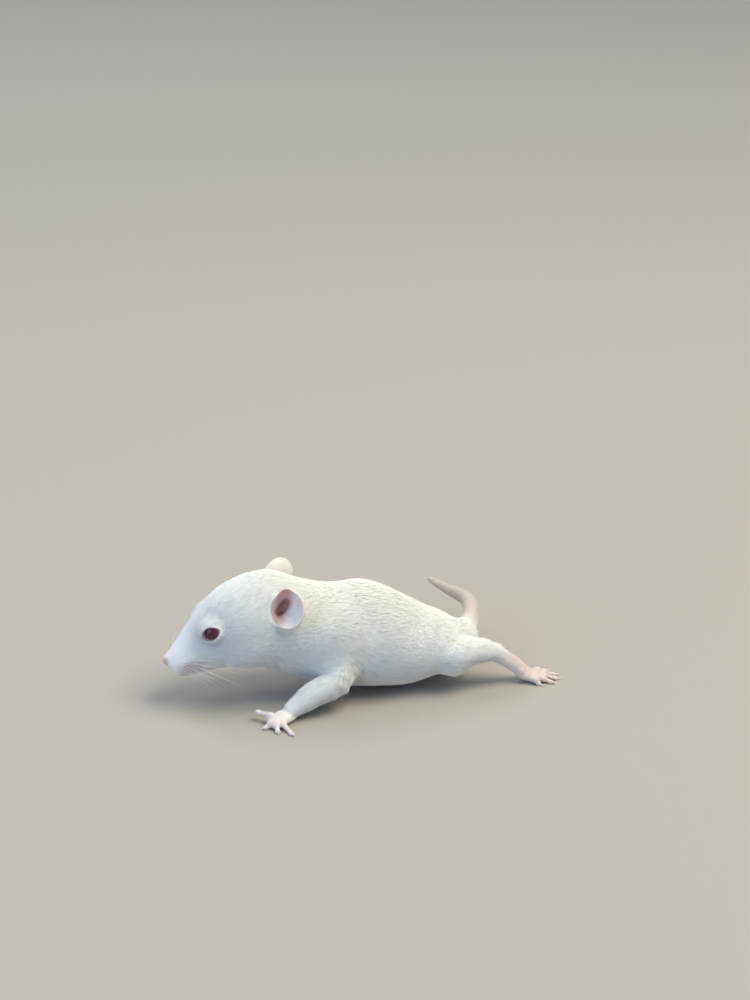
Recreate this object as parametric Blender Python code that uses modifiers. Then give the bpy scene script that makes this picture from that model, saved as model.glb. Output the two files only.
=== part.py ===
"""A young white mouse, crawling with one hind leg stretched out behind: a still, life-size model.

The mouse faces -X, its left side is -Y and the floor is z = 0. Sizes are in millimetres until the last step.
The whole animal is first one closed surface, described by a distance function. It is then carved into named pieces.
"""

import math

import bmesh
import bpy
import numpy as np
from mathutils import Matrix, Vector

MM = 0.001  # metres in a millimetre

# ---------------------------------------------------------------- sizes of the animal, in millimetres

SEED_VOXEL = 0.3  # cell of the remesh that joins the rough shapes
BODY_TRIANGLES = 6200  # triangles left in the whole animal before it is carved
PIECE_SHARE = 0.62  # share of a carved piece's triangles that are kept
GAP = 0.3  # clear space between two neighbouring pieces
PROBE = 0.02  # step used to measure the slope of the distance function

# The head has its own frame: along points from the nape to the nose, up is at right angles to it.
HEAD_ORIGIN = np.array([-15.5, 0.0, 14.5])
HEAD_DROP = math.radians(22)
# along, top, bottom, half width
HEAD_SECTIONS = (
    (-15.0, -5.0, -7.5, 1.5),
    (-12.0, -1.5, -9.5, 4.2),
    (-8.0, 3.3, -10.4, 5.9),
    (-4.0, 6.8, -10.2, 6.5),
    (-1.0, 7.7, -9.9, 6.6),
    (1.6, 7.8, -8.7, 6.5),
    (4.8, 7.3, -6.6, 5.9),
    (8.4, 5.7, -5.4, 4.8),
    (11.5, 3.8, -4.8, 3.7),
    (14.2, 1.9, -4.1, 3.1),
    (16.0, 0.8, -2.9, 2.2),
    (16.9, 0.3, -1.5, 1.2),
)
# x, back line, belly line, half width
TRUNK_SECTIONS = (
    (-14.0, 16.5, 6.4, 4.8),
    (-8.0, 18.6, 2.8, 6.6),
    (-3.0, 19.1, 1.4, 7.4),
    (3.0, 18.3, 0.6, 8.1),
    (9.0, 15.2, 0.6, 7.9),
    (15.0, 11.9, 2.4, 6.6),
    (19.0, 9.6, 3.8, 4.7),
    (21.4, 8.4, 5.8, 1.8),
)
EGG = 0.14  # how much narrower the back of a section is than its belly

EYE_RADIUS = 1.65
EYE_PLACE = (7.5, 3.3, 2.65)  # in the head's frame, for the eye on its +Y side
EYE_SOCKET = EYE_RADIUS + 0.15

# centre of each ear's bowl in the head's frame, and the way its mouth faces; the right ear is turned outwards
EAR_PLACES = {-1: (-5.1, 6.8, 2.5), 1: (-5.1, 6.7, 2.2)}
EAR_MOUTHS = {-1: (-0.58, -0.76, 0.20), 1: (-0.20, 0.95, 0.20)}
EAR_RADII = (2.9, 3.15, 1.7)  # half width, half height and depth of the bowl
EAR_WALL = 0.8
EAR_TILT = 0.3  # how much lower the bowl's rim is at its front, for each millimetre forwards

TAIL_POINTS = (
    (16.8, 0.2, 6.9),
    (20.3, 1.8, 7.9),
    (22.0, 5.0, 8.7),
    (22.6, 9.4, 8.8),
    (22.1, 13.6, 8.0),
    (21.4, 18.1, 6.8),
    (20.5, 22.9, 5.8),
    (19.8, 26.2, 5.2),
)
TAIL_RADII = (2.1, 1.6, 1.45, 1.3, 1.15, 0.95, 0.75, 0.5)
TAIL_CUTS = (0.12, 0.21, 0.47, 0.72, 1.0)  # where the tail's lengths begin, as shares of its route, and its end


# ---------------------------------------------------------------- frames and smooth curves


def unit(vector):
    vector = np.asarray(vector, float)
    return vector / np.linalg.norm(vector)


HEAD_ALONG = np.array([-math.cos(HEAD_DROP), 0.0, -math.sin(HEAD_DROP)])
HEAD_UP = np.array([-math.sin(HEAD_DROP), 0.0, math.cos(HEAD_DROP)])
LATERAL = np.array([0.0, 1.0, 0.0])
HEAD_AXES = np.array([HEAD_ALONG, LATERAL, HEAD_UP])


def from_head(place, side=1):
    """A place in the head's frame (along, sideways, up) as a point of the model. side is +1 or -1."""
    along, sideways, up = place
    return HEAD_ORIGIN + along * HEAD_ALONG + side * sideways * LATERAL + up * HEAD_UP


def smooth_between(at, knots, values):
    """Values of a smooth curve through (knots, values), held constant past both ends."""
    knots, values = np.asarray(knots, float), np.asarray(values, float)
    at = np.clip(at, knots[0], knots[-1])
    slopes = np.gradient(values, knots)
    i = np.clip(np.searchsorted(knots, at) - 1, 0, len(knots) - 2)
    width = knots[i + 1] - knots[i]
    t = (at - knots[i]) / width
    return (
        (2 * t**3 - 3 * t**2 + 1) * values[i]
        + (t**3 - 2 * t**2 + t) * width * slopes[i]
        + (3 * t**2 - 2 * t**3) * values[i + 1]
        + (t**3 - t**2) * width * slopes[i + 1]
    )


def smooth_route(points, radii, pieces_per_span=4):
    """The route and its radii, read at even steps from a smooth curve through the given points."""
    points = np.asarray(points, float)
    knots = np.arange(len(points))
    at = np.linspace(0, len(points) - 1, (len(points) - 1) * pieces_per_span + 1)
    route = np.stack([smooth_between(at, knots, points[:, k]) for k in range(3)], axis=1)
    return route, smooth_between(at, knots, radii)


# ---------------------------------------------------------------- distance functions of single shapes


def ellipsoid_distance(points, centre, radii, axes=None):
    local = points - centre
    if axes is not None:
        local = local @ np.asarray(axes).T
    near = np.linalg.norm(local / radii, axis=1)
    slope = np.linalg.norm(local / np.square(radii), axis=1)
    return near * (near - 1) / np.maximum(slope, 1e-9)


def tube_distance(points, route, radii):
    """Distance to a round tube whose radius changes evenly between the points of its route."""
    nearest = np.full(len(points), 1e9)
    for a, b, ra, rb in zip(route[:-1], route[1:], radii[:-1], radii[1:]):
        span = b - a
        t = np.clip((points - a) @ span / (span @ span), 0, 1)
        away = np.linalg.norm(points - a - t[:, None] * span, axis=1)
        nearest = np.minimum(nearest, away - ra - t * (rb - ra))
    return nearest


def swept_distance(points, origin, axes, sections):
    """Distance to a body whose egg-shaped section changes smoothly along the first of its axes."""
    along, sideways, up = ((points - origin) @ np.asarray(axes).T).T
    knots, tops, bottoms, widths = np.array(sections).T
    top = smooth_between(along, knots, tops)
    bottom = smooth_between(along, knots, bottoms)
    height = (top - bottom) / 2
    rise = (up - (top + bottom) / 2) / height
    half = smooth_between(along, knots, widths) * (1 - EGG * np.clip(rise, -1, 1))
    near = np.hypot(sideways / half, rise)
    slope = np.hypot(sideways / half**2, rise / height)
    side = near * (near - 1) / np.maximum(slope, 1e-9)
    return np.maximum(side, np.maximum(knots[0] - along, along - knots[-1]))


def bowl_distance(points, centre, radii, axes, wall, front):
    """Distance to a thin bowl: the back half of an ellipsoid's skin, cut lower at its front.

    The third axis points out of its mouth. front is +1 or -1, the way of the first axis that is forwards.
    """
    local = (points - centre) @ np.asarray(axes).T
    skin = np.abs(ellipsoid_distance(local, 0.0, radii)) - wall / 2
    rim = local[:, 2] - 0.2 + EAR_TILT * np.maximum(front * local[:, 0], 0.0)
    return smooth_max(skin, rim, wall / 2)


def smooth_min(a, b, blend):
    """The smaller of two distances, with the crease between the two shapes filled over about this width."""
    share = np.clip(0.5 + 0.5 * (b - a) / blend, 0, 1)
    return b + (a - b) * share - blend * share * (1 - share)


def smooth_max(a, b, blend):
    return -smooth_min(-a, -b, blend)


# ---------------------------------------------------------------- the animal as a list of shapes
# Each shape is (distance function, blend width, seeds). Seeds are balls (centre, radii, axes) that fill it roughly.


def ellipsoid(centre, radii, blend, axes=None):
    centre, radii = np.asarray(centre, float), np.asarray(radii, float)
    seeds = [(centre, radii, np.eye(3) if axes is None else np.asarray(axes))]
    return (lambda p: ellipsoid_distance(p, centre, radii, axes)), blend, seeds


def tube(points, radii, blend):
    route, thickness = smooth_route(points, radii)
    close, close_radii = smooth_route(points, radii, pieces_per_span=10)
    seeds = [(c, np.full(3, r), np.eye(3)) for c, r in zip(close, close_radii)]
    return (lambda p: tube_distance(p, route, thickness)), blend, seeds


def swept(origin, axes, sections, blend):
    origin, axes = np.asarray(origin, float), np.asarray(axes, float)
    knots, tops, bottoms, widths = np.array(sections).T
    seeds = []
    for along in np.arange(knots[0] + 1.0, knots[-1] - 0.5, 1.0):
        top, bottom, half = (smooth_between(along, knots, v) for v in (tops, bottoms, widths))
        centre = origin + along * axes[0] + (top + bottom) / 2 * axes[2]
        seeds.append((centre, np.array([1.6, 0.9 * half, 0.97 * (top - bottom) / 2]), axes))
    return (lambda p: swept_distance(p, origin, axes, sections)), blend, seeds


def ear_frame(side):
    """Centre of an ear's mouth and its axes: across, tall and out of the mouth."""
    mouth = unit(EAR_MOUTHS[side])
    tall = np.array([0.22, 0.10 * side, 0.95])
    tall = unit(tall - (tall @ mouth) * mouth)
    return from_head(EAR_PLACES[side], side), np.array([np.cross(tall, mouth), tall, mouth])


def ear(side):
    """The bowl of an ear, open forwards and outwards."""
    centre, axes = ear_frame(side)
    radii = np.array(EAR_RADII)
    seeds = []
    for turn in np.linspace(0, math.tau, 28, endpoint=False):
        for dip in np.linspace(0, math.pi / 2, 9):
            rim = math.cos(dip)
            local = radii * (rim * math.cos(turn), rim * math.sin(turn), -math.sin(dip))
            seeds.append((centre + local @ axes, np.full(3, 0.4), np.eye(3)))
    return (lambda p: bowl_distance(p, centre, radii, axes, EAR_WALL, side)), 0.8, seeds


def ear_hollow(side):
    """The hollow inside an ear's bowl, which is taken out of the head."""
    centre, axes = ear_frame(side)
    radii = np.array(EAR_RADII) - EAR_WALL / 2
    return lambda p: ellipsoid_distance(p, centre, radii, axes)


def paw(palm, heading, palm_radii, tips, radius, lift=0.3):
    """A hand or foot: a flat palm, and a digit from its front edge to each tip. Tips go from one side to the other."""
    palm, heading = np.asarray(palm, float), unit(heading)
    across = unit(np.array([-heading[1], heading[0], 0.0]))
    shapes = [ellipsoid(palm, palm_radii, 0.7, np.array([heading, across, np.cross(heading, across)]))]
    for k, tip in enumerate(tips):
        share = k / (len(tips) - 1) * 2 - 1  # -1 to 1 across the paw
        start = palm + (0.75 - 0.35 * share**2) * palm_radii[0] * heading + 0.7 * share * palm_radii[1] * across
        knuckle = 0.5 * (start + np.asarray(tip))
        knuckle[2] += lift
        shapes.append(tube((start, knuckle, tip), (radius * 1.2, radius, radius * 0.72), 0.3))
    return shapes


def left_foreleg():
    leg = tube(
        ((-3.5, -4.6, 8.6), (-3.9, -7.6, 5.6), (-8.2, -9.0, 3.6), (-11.6, -9.8, 1.9)), (3.4, 2.7, 2.1, 1.5), 1.6
    )
    tips = ((-12.7, -15.0, 0.2), (-14.8, -13.9, 0.2), (-16.6, -12.2, 0.2), (-17.2, -9.0, 1.5))
    return [leg, *paw((-13.5, -10.7, 1.0), (-0.86, -0.5, -0.1), (2.0, 1.75, 1.1), tips, 0.5)]


def right_foreleg():
    leg = tube(((-3.0, 4.6, 8.6), (0.0, 7.2, 5.4), (-0.5, 7.8, 3.4), (-1.3, 8.0, 1.8)), (3.4, 2.6, 2.0, 1.45), 1.6)
    tips = ((-6.0, 6.6, 0.2), (-7.0, 7.6, 0.2), (-7.1, 8.9, 0.2), (-6.3, 10.0, 0.2))
    return [leg, *paw((-2.8, 8.1, 1.0), (-0.99, 0.05, -0.1), (2.0, 1.7, 1.1), tips[::-1], 0.5)]


def left_hindleg():
    thigh = tube(((12.0, -2.6, 8.0), (16.0, -4.8, 6.3)), (4.2, 3.0), 2.0)
    shank = tube(((16.0, -4.9, 6.1), (20.4, -4.8, 6.5), (23.6, -4.6, 5.9)), (2.8, 2.3, 1.45), 1.6)
    sole = tube(((23.6, -4.6, 5.9), (26.8, -4.6, 3.6), (29.1, -4.7, 1.5)), (1.45, 1.35, 1.1), 0.8)
    tips = ((31.0, -7.0, 0.2), (33.2, -6.8, 0.2), (34.3, -5.6, 0.2), (34.4, -4.2, 0.2), (33.2, -3.0, 0.4))
    return [thigh, shank, sole, *paw((29.2, -4.8, 1.3), (0.90, -0.06, -0.42), (2.0, 1.6, 1.0), tips, 0.46)]


def right_hindleg():
    thigh = tube(((13.0, 3.0, 7.1), (9.0, 6.4, 5.4)), (3.6, 3.0), 2.0)
    shank = tube(((9.0, 6.8, 5.2), (13.0, 8.0, 3.6), (17.0, 8.4, 1.7)), (2.6, 1.9, 1.35), 1.2)
    sole = tube(((17.3, 8.4, 1.25), (13.6, 8.8, 1.0), (10.4, 9.2, 1.0)), (1.4, 1.2, 1.2), 0.8)
    tips = ((8.2, 6.9, 0.2), (5.9, 7.8, 0.2), (5.4, 9.2, 0.2), (5.9, 10.6, 0.2), (7.9, 11.6, 0.2))
    return [thigh, shank, sole, *paw((10.2, 9.2, 0.95), (-0.99, 0.04, -0.05), (1.9, 1.7, 0.95), tips[::-1], 0.48)]


def head_shapes():
    shapes = [swept(HEAD_ORIGIN, HEAD_AXES, HEAD_SECTIONS, 3.0)]
    jaw = tube((from_head((4.0, 0, -4.2)), from_head((9.0, 0, -3.8)), from_head((12.8, 0, -3.6))), (2.7, 1.7, 1.0), 1.0)
    nose = ellipsoid(from_head((16.5, 0, -0.3)), (0.75, 1.05, 0.8), 0.5, HEAD_AXES)
    shapes += [jaw, nose]
    for side in (1, -1):
        brow = ellipsoid(from_head((7.8, 2.9, 2.9), side), (2.4, 1.8, 1.9), 1.4, HEAD_AXES)
        cheek = ellipsoid(from_head((3.2, 3.4, -3.0), side), (4.6, 3.0, 3.4), 1.5, HEAD_AXES)
        whisker_pad = ellipsoid(from_head((13.9, 1.35, -1.7), side), (2.3, 1.75, 1.8), 0.9, HEAD_AXES)
        shapes += [brow, cheek, whisker_pad]
    return shapes


TRUNK = swept((0, 0, 0), np.eye(3), TRUNK_SECTIONS, 2.4)
SHOULDERS = [ellipsoid((-3.5, side * 3.6, 10.6), (5.4, 4.2, 5.6), 2.0) for side in (1, -1)]
SHAPES = [
    TRUNK,
    *head_shapes(),
    *SHOULDERS,
    tube(TAIL_POINTS, TAIL_RADII, 1.6),
    *left_foreleg(),
    *right_foreleg(),
    *left_hindleg(),
    *right_hindleg(),
]
EARS = [ear(-1), ear(1)]
HOLLOWS = [ear_hollow(-1), ear_hollow(1)]


def body_distance(points):
    """Distance to the whole animal: every shape joined to the ones before it with its own blend."""
    total = SHAPES[0][0](points)
    for distance, blend, _ in SHAPES[1:]:
        total = smooth_min(total, distance(points), blend)
    for hollow in HOLLOWS:
        total = smooth_max(total, -hollow(points), 0.4)
    for distance, blend, _ in EARS:
        total = smooth_min(total, distance(points), blend)
    return total


# ---------------------------------------------------------------- the animal as one mesh


def link(obj, collection):
    collection.objects.link(obj)
    return obj


def mesh_object(name, points, faces, collection):
    mesh = bpy.data.meshes.new(name)
    mesh.from_pydata([tuple(p) for p in points], [], [tuple(f) for f in faces])
    return link(bpy.data.objects.new(name, mesh), collection)


def seed_mesh(collection):
    """Every seed ball of every shape, in one object."""
    ball = bmesh.new()
    bmesh.ops.create_icosphere(ball, subdivisions=2, radius=1.0)
    ball.verts.ensure_lookup_table()
    corners = np.array([v.co for v in ball.verts])
    faces = np.array([[v.index for v in f.verts] for f in ball.faces])
    ball.free()
    points, triangles = [], []
    for _, _, seeds in SHAPES + EARS:
        for centre, radii, axes in seeds:
            triangles.append(faces + len(points) * len(corners))
            points.append(centre + (corners * radii) @ axes)
    return mesh_object("seeds", np.concatenate(points), np.concatenate(triangles), collection)


def applied(obj, modifier_type, **settings):
    """Adds one modifier, replaces the object's mesh by its result, and returns the object."""
    modifier = obj.modifiers.new(modifier_type.title(), modifier_type)
    for name, value in settings.items():
        setattr(modifier, name, value)
    bpy.context.view_layer.update()
    result = bpy.data.meshes.new_from_object(obj.evaluated_get(bpy.context.evaluated_depsgraph_get()))
    obj.modifiers.clear()
    obj.data = result
    return obj


def coordinates(mesh):
    found = np.empty(len(mesh.vertices) * 3)
    mesh.vertices.foreach_get("co", found)
    return found.reshape(-1, 3)


def evened(points, edges):
    """Each point moved half way to the mean of its neighbours."""
    total = np.zeros_like(points)
    count = np.zeros(len(points))
    for a, b in ((0, 1), (1, 0)):
        np.add.at(total, edges[:, a], points[edges[:, b]])
        np.add.at(count, edges[:, a], 1)
    return 0.5 * points + 0.5 * total / count[:, None]


def snapped(points, steps=2):
    """Points moved down the slope of the distance function until they lie on the animal's surface."""
    for _ in range(steps):
        here = body_distance(points)
        slope = np.stack(
            [(body_distance(points + PROBE * axis) - here) / PROBE for axis in np.eye(3)], axis=1
        )
        step = here / np.maximum((slope**2).sum(axis=1), 0.2)
        points = points - np.clip(step, -0.6, 0.6)[:, None] * slope
    return points


def whole_animal(collection):
    obj = applied(seed_mesh(collection), "REMESH", mode="VOXEL", voxel_size=SEED_VOXEL)
    edges = np.array([e.vertices[:] for e in obj.data.edges])
    points = coordinates(obj.data)
    for _ in range(3):
        points = snapped(evened(points, edges))
    obj.data.vertices.foreach_set("co", points.ravel())
    obj.data.update()
    share = BODY_TRIANGLES / (2 * len(obj.data.polygons))
    return applied(obj, "DECIMATE", ratio=share, use_collapse_triangulate=True)


# ---------------------------------------------------------------- carving the animal into named pieces


def boolean(obj, cutter, operation):
    return applied(obj, "BOOLEAN", object=cutter, operation=operation, solver="EXACT")


def copy_of(obj, name):
    twin = obj.copy()
    twin.data = obj.data.copy()
    twin.name = name
    return link(twin, obj.users_collection[0])


def hull_object(name, balls, grow, collection):
    """The convex hull of a few balls, each (centre, radius), with every radius made larger by grow."""
    ball = bmesh.new()
    bmesh.ops.create_icosphere(ball, subdivisions=2, radius=1.0)
    corners = np.array([v.co for v in ball.verts])
    ball.free()
    shell = bmesh.new()
    for centre, radius in balls:
        for point in corners * (radius + grow) + np.asarray(centre, float):
            shell.verts.new(point)
    result = bmesh.ops.convex_hull(shell, input=shell.verts)
    inside = {v for v in result["geom_interior"] + result["geom_unused"] if isinstance(v, bmesh.types.BMVert)}
    bmesh.ops.delete(shell, geom=list(inside), context="VERTS")
    bmesh.ops.recalc_face_normals(shell, faces=shell.faces)
    mesh = bpy.data.meshes.new(name)
    shell.to_mesh(mesh)
    shell.free()
    obj = link(bpy.data.objects.new(name, mesh), collection)
    obj.hide_render = True
    obj.display_type = "WIRE"
    return obj


def ear_region(side):
    """Balls whose hull holds one ear's bowl and nothing of the head but the root under it."""
    centre, axes = ear_frame(side)
    across, tall, deep = np.array(EAR_RADII) + EAR_WALL / 2 + 0.2
    balls = []
    for turn in np.linspace(0, math.tau, 24, endpoint=False):
        for dip, out in ((0.0, 1.2), (0.0, 0.0), (0.5, 0.0), (1.0, 0.0), (1.4, 0.0)):
            rim = math.cos(dip)
            local = np.array([across * rim * math.cos(turn), tall * rim * math.sin(turn), out - deep * math.sin(dip)])
            balls.append((centre + local @ axes, 0.05))
    return balls


def tail_region(start, end, girth):
    """Balls along the tail between two shares of its route, girth times as thick as the tail."""
    route, radii = smooth_route(TAIL_POINTS, TAIL_RADII, pieces_per_span=6)
    first, last = round(start * (len(route) - 1)), round(end * (len(route) - 1)) + 2
    return [(p, girth * r + 0.1) for p, r in zip(route[first:last], radii[first:last])]


REGIONS = (
    ("ear_left", ear_region(-1)),
    ("ear_right", ear_region(1)),
    (
        "forepaw_left",
        [((-13.8, -11.0, 0.8), 2.6), ((-12.5, -15.0, 0.4), 1.5), ((-16.9, -9.0, 1.2), 1.6), ((-17.0, -12.4, 0.4), 1.4)],
    ),
    ("forepaw_right", [((-3.2, 8.1, 0.8), 2.5), ((-6.6, 6.8, 0.4), 1.4), ((-6.8, 9.8, 0.4), 1.4)]),
    ("foreleg_left", [((-4.4, -7.8, 5.4), 2.9), ((-11.6, -9.8, 1.9), 2.4)]),
    ("foreleg_right", [((-0.4, 7.4, 5.2), 2.8), ((-1.3, 8.0, 1.8), 2.4)]),
    (
        "hindfoot_left",
        [((26.6, -4.6, 3.8), 2.1), ((31.0, -7.2, 0.4), 1.5), ((34.6, -5.0, 0.4), 1.6), ((33.2, -2.8, 0.5), 1.5)],
    ),
    (
        "hindfoot_right",
        [((17.2, 8.4, 1.1), 2.0), ((8.0, 7.0, 0.3), 1.5), ((5.8, 9.2, 0.3), 1.6), ((8.0, 11.6, 0.3), 1.5)],
    ),
    ("shank_left", [((20.8, -5.0, 6.2), 2.9), ((24.0, -4.6, 5.8), 2.3)]),
    ("shank_right", [((10.0, 7.4, 4.8), 2.7), ((16.8, 8.3, 2.4), 2.2)]),
    ("thigh_left", [((13.8, -5.2, 6.4), 4.2), ((17.2, -5.5, 5.8), 3.3)]),
    ("thigh_right", [((12.4, 5.4, 6.4), 4.2), ((8.8, 6.6, 5.6), 3.2)]),
)
# Planes across the body, in this order from the nose: name of what lies ahead, a point, the way forwards.
SLICES = (
    ("head", (-8.4, 0.0, 18.0), (-0.97, 0.0, 0.24)),
    ("neck", (-4.4, 0.0, 17.0), (-0.98, 0.0, 0.20)),
    ("chest", (6.0, 0.0, 9.0), (-1.0, 0.0, 0.0)),
)


def half_space(name, point, forwards, shift, collection):
    """A large block ahead of a plane across the body, its face moved backwards by shift."""
    forwards = Vector(forwards).normalized()
    size = 80.0
    turn = forwards.to_track_quat("X", "Z").to_matrix().to_4x4()
    centre = Vector(point) + forwards * (size / 2 - shift)
    block = bmesh.new()
    bmesh.ops.create_cube(block, size=size, matrix=Matrix.Translation(centre) @ turn)
    mesh = bpy.data.meshes.new(name)
    block.to_mesh(mesh)
    block.free()
    return link(bpy.data.objects.new(name, mesh), collection)


def largest_body(obj):
    """Keeps the biggest connected part of an object's mesh, so that no crumb of a cut stays with it."""
    mesh = bmesh.new()
    mesh.from_mesh(obj.data)
    bmesh.ops.remove_doubles(mesh, verts=mesh.verts, dist=0.002)
    mesh.verts.ensure_lookup_table()
    seen, groups = set(), []
    for seed in mesh.verts:
        if seed in seen:
            continue
        group, stack = [], [seed]
        seen.add(seed)
        while stack:
            vert = stack.pop()
            group.append(vert)
            for edge in vert.link_edges:
                other = edge.other_vert(vert)
                if other not in seen:
                    seen.add(other)
                    stack.append(other)
        groups.append(group)
    groups.sort(key=len)
    bmesh.ops.delete(mesh, geom=[v for g in groups[:-1] for v in g], context="VERTS")
    mesh.to_mesh(obj.data)
    mesh.free()
    return obj


def lightened(obj):
    """The same piece with fewer triangles. The thin ears keep all of theirs."""
    if obj.name.startswith("ear"):
        return obj
    return applied(obj, "DECIMATE", ratio=PIECE_SHARE, use_collapse_triangulate=True)


def take(rest, name, make_region):
    """Parts one piece off the rest: the piece is what lies in its region, the rest loses that and a clear gap."""
    snug, wide = make_region(0.0), make_region(GAP)
    piece = lightened(largest_body(boolean(copy_of(rest, name), snug, "INTERSECT")))
    boolean(rest, wide, "DIFFERENCE")
    for cutter in (snug, wide):
        bpy.data.objects.remove(cutter)
    return piece


def eye(name, side, collection):
    ball = bmesh.new()
    bmesh.ops.create_uvsphere(ball, u_segments=18, v_segments=12, radius=EYE_RADIUS)
    bmesh.ops.translate(ball, verts=ball.verts, vec=Vector(from_head(EYE_PLACE, side)))
    mesh = bpy.data.meshes.new(name)
    ball.to_mesh(mesh)
    ball.free()
    return link(bpy.data.objects.new(name, mesh), collection)


def carved(body, pieces, cutters):
    """All the named pieces of the animal."""
    found = []
    for name, side in (("eye_left", -1), ("eye_right", 1)):
        found.append(eye(name, side, pieces))
        socket = hull_object("socket", [(from_head(EYE_PLACE, side), EYE_SOCKET)], 0.0, cutters)
        boolean(body, socket, "DIFFERENCE")
        bpy.data.objects.remove(socket)
    for name, balls in REGIONS:
        found.append(take(body, name, lambda grow: hull_object("region", balls, grow, cutters)))
    for number in (4, 3, 2, 1):
        balls = tail_region(TAIL_CUTS[number - 1], TAIL_CUTS[number], 1.5 if number == 1 else 2.2)
        found.append(take(body, f"tail_{number}", lambda grow: hull_object("region", balls, grow, cutters)))
    for name, point, forwards in SLICES:
        found.append(take(body, name, lambda grow: half_space("slice", point, forwards, grow, cutters)))
    body.name = "rump"
    found.append(lightened(largest_body(body)))
    floor = half_space("floor", (0, 0, 0), (0, 0, -1), 0.0, cutters)
    for obj in found:
        if coordinates(obj.data)[:, 2].min() < 0:
            boolean(obj, floor, "DIFFERENCE")
    bpy.data.objects.remove(floor)
    return found


# ---------------------------------------------------------------- materials

# colour, roughness
FUR = ((0.86, 0.85, 0.80), 0.9)
EAR_SKIN = ((0.80, 0.60, 0.55), 0.7)
FOOT_SKIN = ((0.82, 0.62, 0.58), 0.6)
TAIL_SKIN = ((0.78, 0.58, 0.53), 0.65)
EYE_RED = ((0.25, 0.02, 0.05), 0.08)
FINISHES = {
    "ear": EAR_SKIN,
    "eye": EYE_RED,
    "forepaw": FOOT_SKIN,
    "hindfoot": FOOT_SKIN,
    "tail": TAIL_SKIN,
}


def paint(obj):
    colour, roughness = FINISHES.get(obj.name.split("_")[0], FUR)
    material = bpy.data.materials.new(obj.name)
    material.use_nodes = True
    shader = material.node_tree.nodes["Principled BSDF"]
    shader.inputs["Base Color"].default_value = (*colour, 1.0)
    shader.inputs["Roughness"].default_value = roughness
    shader.inputs["Metallic"].default_value = 0.0
    obj.data.materials.clear()
    obj.data.materials.append(material)


def placed(objects):
    """Millimetres to metres, with the bottom centre of the whole animal's box on the origin."""
    every = np.concatenate([coordinates(obj.data) for obj in objects])
    low, high = every.min(axis=0), every.max(axis=0)
    bottom_centre = Vector(((low[0] + high[0]) / 2, (low[1] + high[1]) / 2, low[2]))
    for obj in objects:
        obj.data.transform(Matrix.Scale(MM, 4) @ Matrix.Translation(-bottom_centre))


def build():
    for old in list(bpy.data.objects):
        bpy.data.objects.remove(old)
    pieces = bpy.data.collections.new("young white mouse")
    cutters = bpy.data.collections.new("cutters")
    for collection in (pieces, cutters):
        bpy.context.scene.collection.children.link(collection)
    objects = carved(whole_animal(pieces), pieces, cutters)
    for obj in objects:
        paint(obj)
    placed(objects)


build()
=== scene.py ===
# %% [markdown]
# # A young white mouse
# This lesson dresses a plain solid model of a mouse pup in skin, coat, eyes, whiskers and claws. The solids
# give the true outline out to the tips of the hairs. Here one seamless skin takes the place of all the
# pieces of flesh, lies under them by the depth of the coat, and carries the hairs that fill that depth
# again.

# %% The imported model
import math
import time
from collections import namedtuple

import bmesh
import bpy
import numpy as np
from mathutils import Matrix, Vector, kdtree


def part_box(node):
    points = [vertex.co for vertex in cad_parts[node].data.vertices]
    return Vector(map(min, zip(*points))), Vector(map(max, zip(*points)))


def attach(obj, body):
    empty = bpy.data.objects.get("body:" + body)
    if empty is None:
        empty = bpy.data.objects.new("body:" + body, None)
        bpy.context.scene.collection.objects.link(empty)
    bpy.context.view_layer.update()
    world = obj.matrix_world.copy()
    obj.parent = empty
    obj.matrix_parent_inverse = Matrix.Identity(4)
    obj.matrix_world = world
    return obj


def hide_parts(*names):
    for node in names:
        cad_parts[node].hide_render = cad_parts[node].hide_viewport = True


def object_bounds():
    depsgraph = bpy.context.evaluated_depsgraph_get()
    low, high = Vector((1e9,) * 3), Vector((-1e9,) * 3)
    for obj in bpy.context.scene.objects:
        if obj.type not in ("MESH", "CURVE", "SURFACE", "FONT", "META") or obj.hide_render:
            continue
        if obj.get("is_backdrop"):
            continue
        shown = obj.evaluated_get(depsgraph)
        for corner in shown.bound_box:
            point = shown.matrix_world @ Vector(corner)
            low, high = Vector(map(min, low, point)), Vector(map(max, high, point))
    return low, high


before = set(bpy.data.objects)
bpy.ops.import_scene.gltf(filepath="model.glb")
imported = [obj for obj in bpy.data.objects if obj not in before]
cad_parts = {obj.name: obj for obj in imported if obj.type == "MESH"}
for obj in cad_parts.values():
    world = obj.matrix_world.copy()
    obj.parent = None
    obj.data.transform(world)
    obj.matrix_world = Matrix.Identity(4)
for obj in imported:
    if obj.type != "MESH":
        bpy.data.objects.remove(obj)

START = time.time()
CAD_BOX = [list(corner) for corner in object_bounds()]
MM = 0.001  # metres in a millimetre
FLESH = [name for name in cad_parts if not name.startswith("eye")]
print("pieces of flesh:", len(FLESH))


def clock():
    return f"after {round(time.time() - START)} s"


# %% [markdown]
# ## A workshop in millimetres
# A mouse is small, so its sizes are easier to read in millimetres. They are written in a frame of the
# animal's own: the nose points to -X, its left is -Y, the floor is z = 0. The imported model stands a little
# to one side of that frame, and the left eye, which is in both, shows by how much.

# %% The animal's own frame
HEAD_ORIGIN = np.array([-15.5, 0.0, 14.5])
HEAD_DROP = math.radians(22)
HEAD_ALONG = np.array([-math.cos(HEAD_DROP), 0.0, -math.sin(HEAD_DROP)])
HEAD_UP = np.array([-math.sin(HEAD_DROP), 0.0, math.cos(HEAD_DROP)])
LATERAL = np.array([0.0, 1.0, 0.0])
HEAD_AXES = np.array([HEAD_ALONG, LATERAL, HEAD_UP])
SIDES = {"left": -1, "right": 1}
EYE_PLACE = (7.5, 3.3, 2.65)  # along, sideways and up in the head's frame
EYE_RADIUS = 1.65


def unit(vectors):
    vectors = np.asarray(vectors, float)
    return vectors / np.maximum(np.linalg.norm(vectors, axis=-1, keepdims=True), 1e-12)


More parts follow.
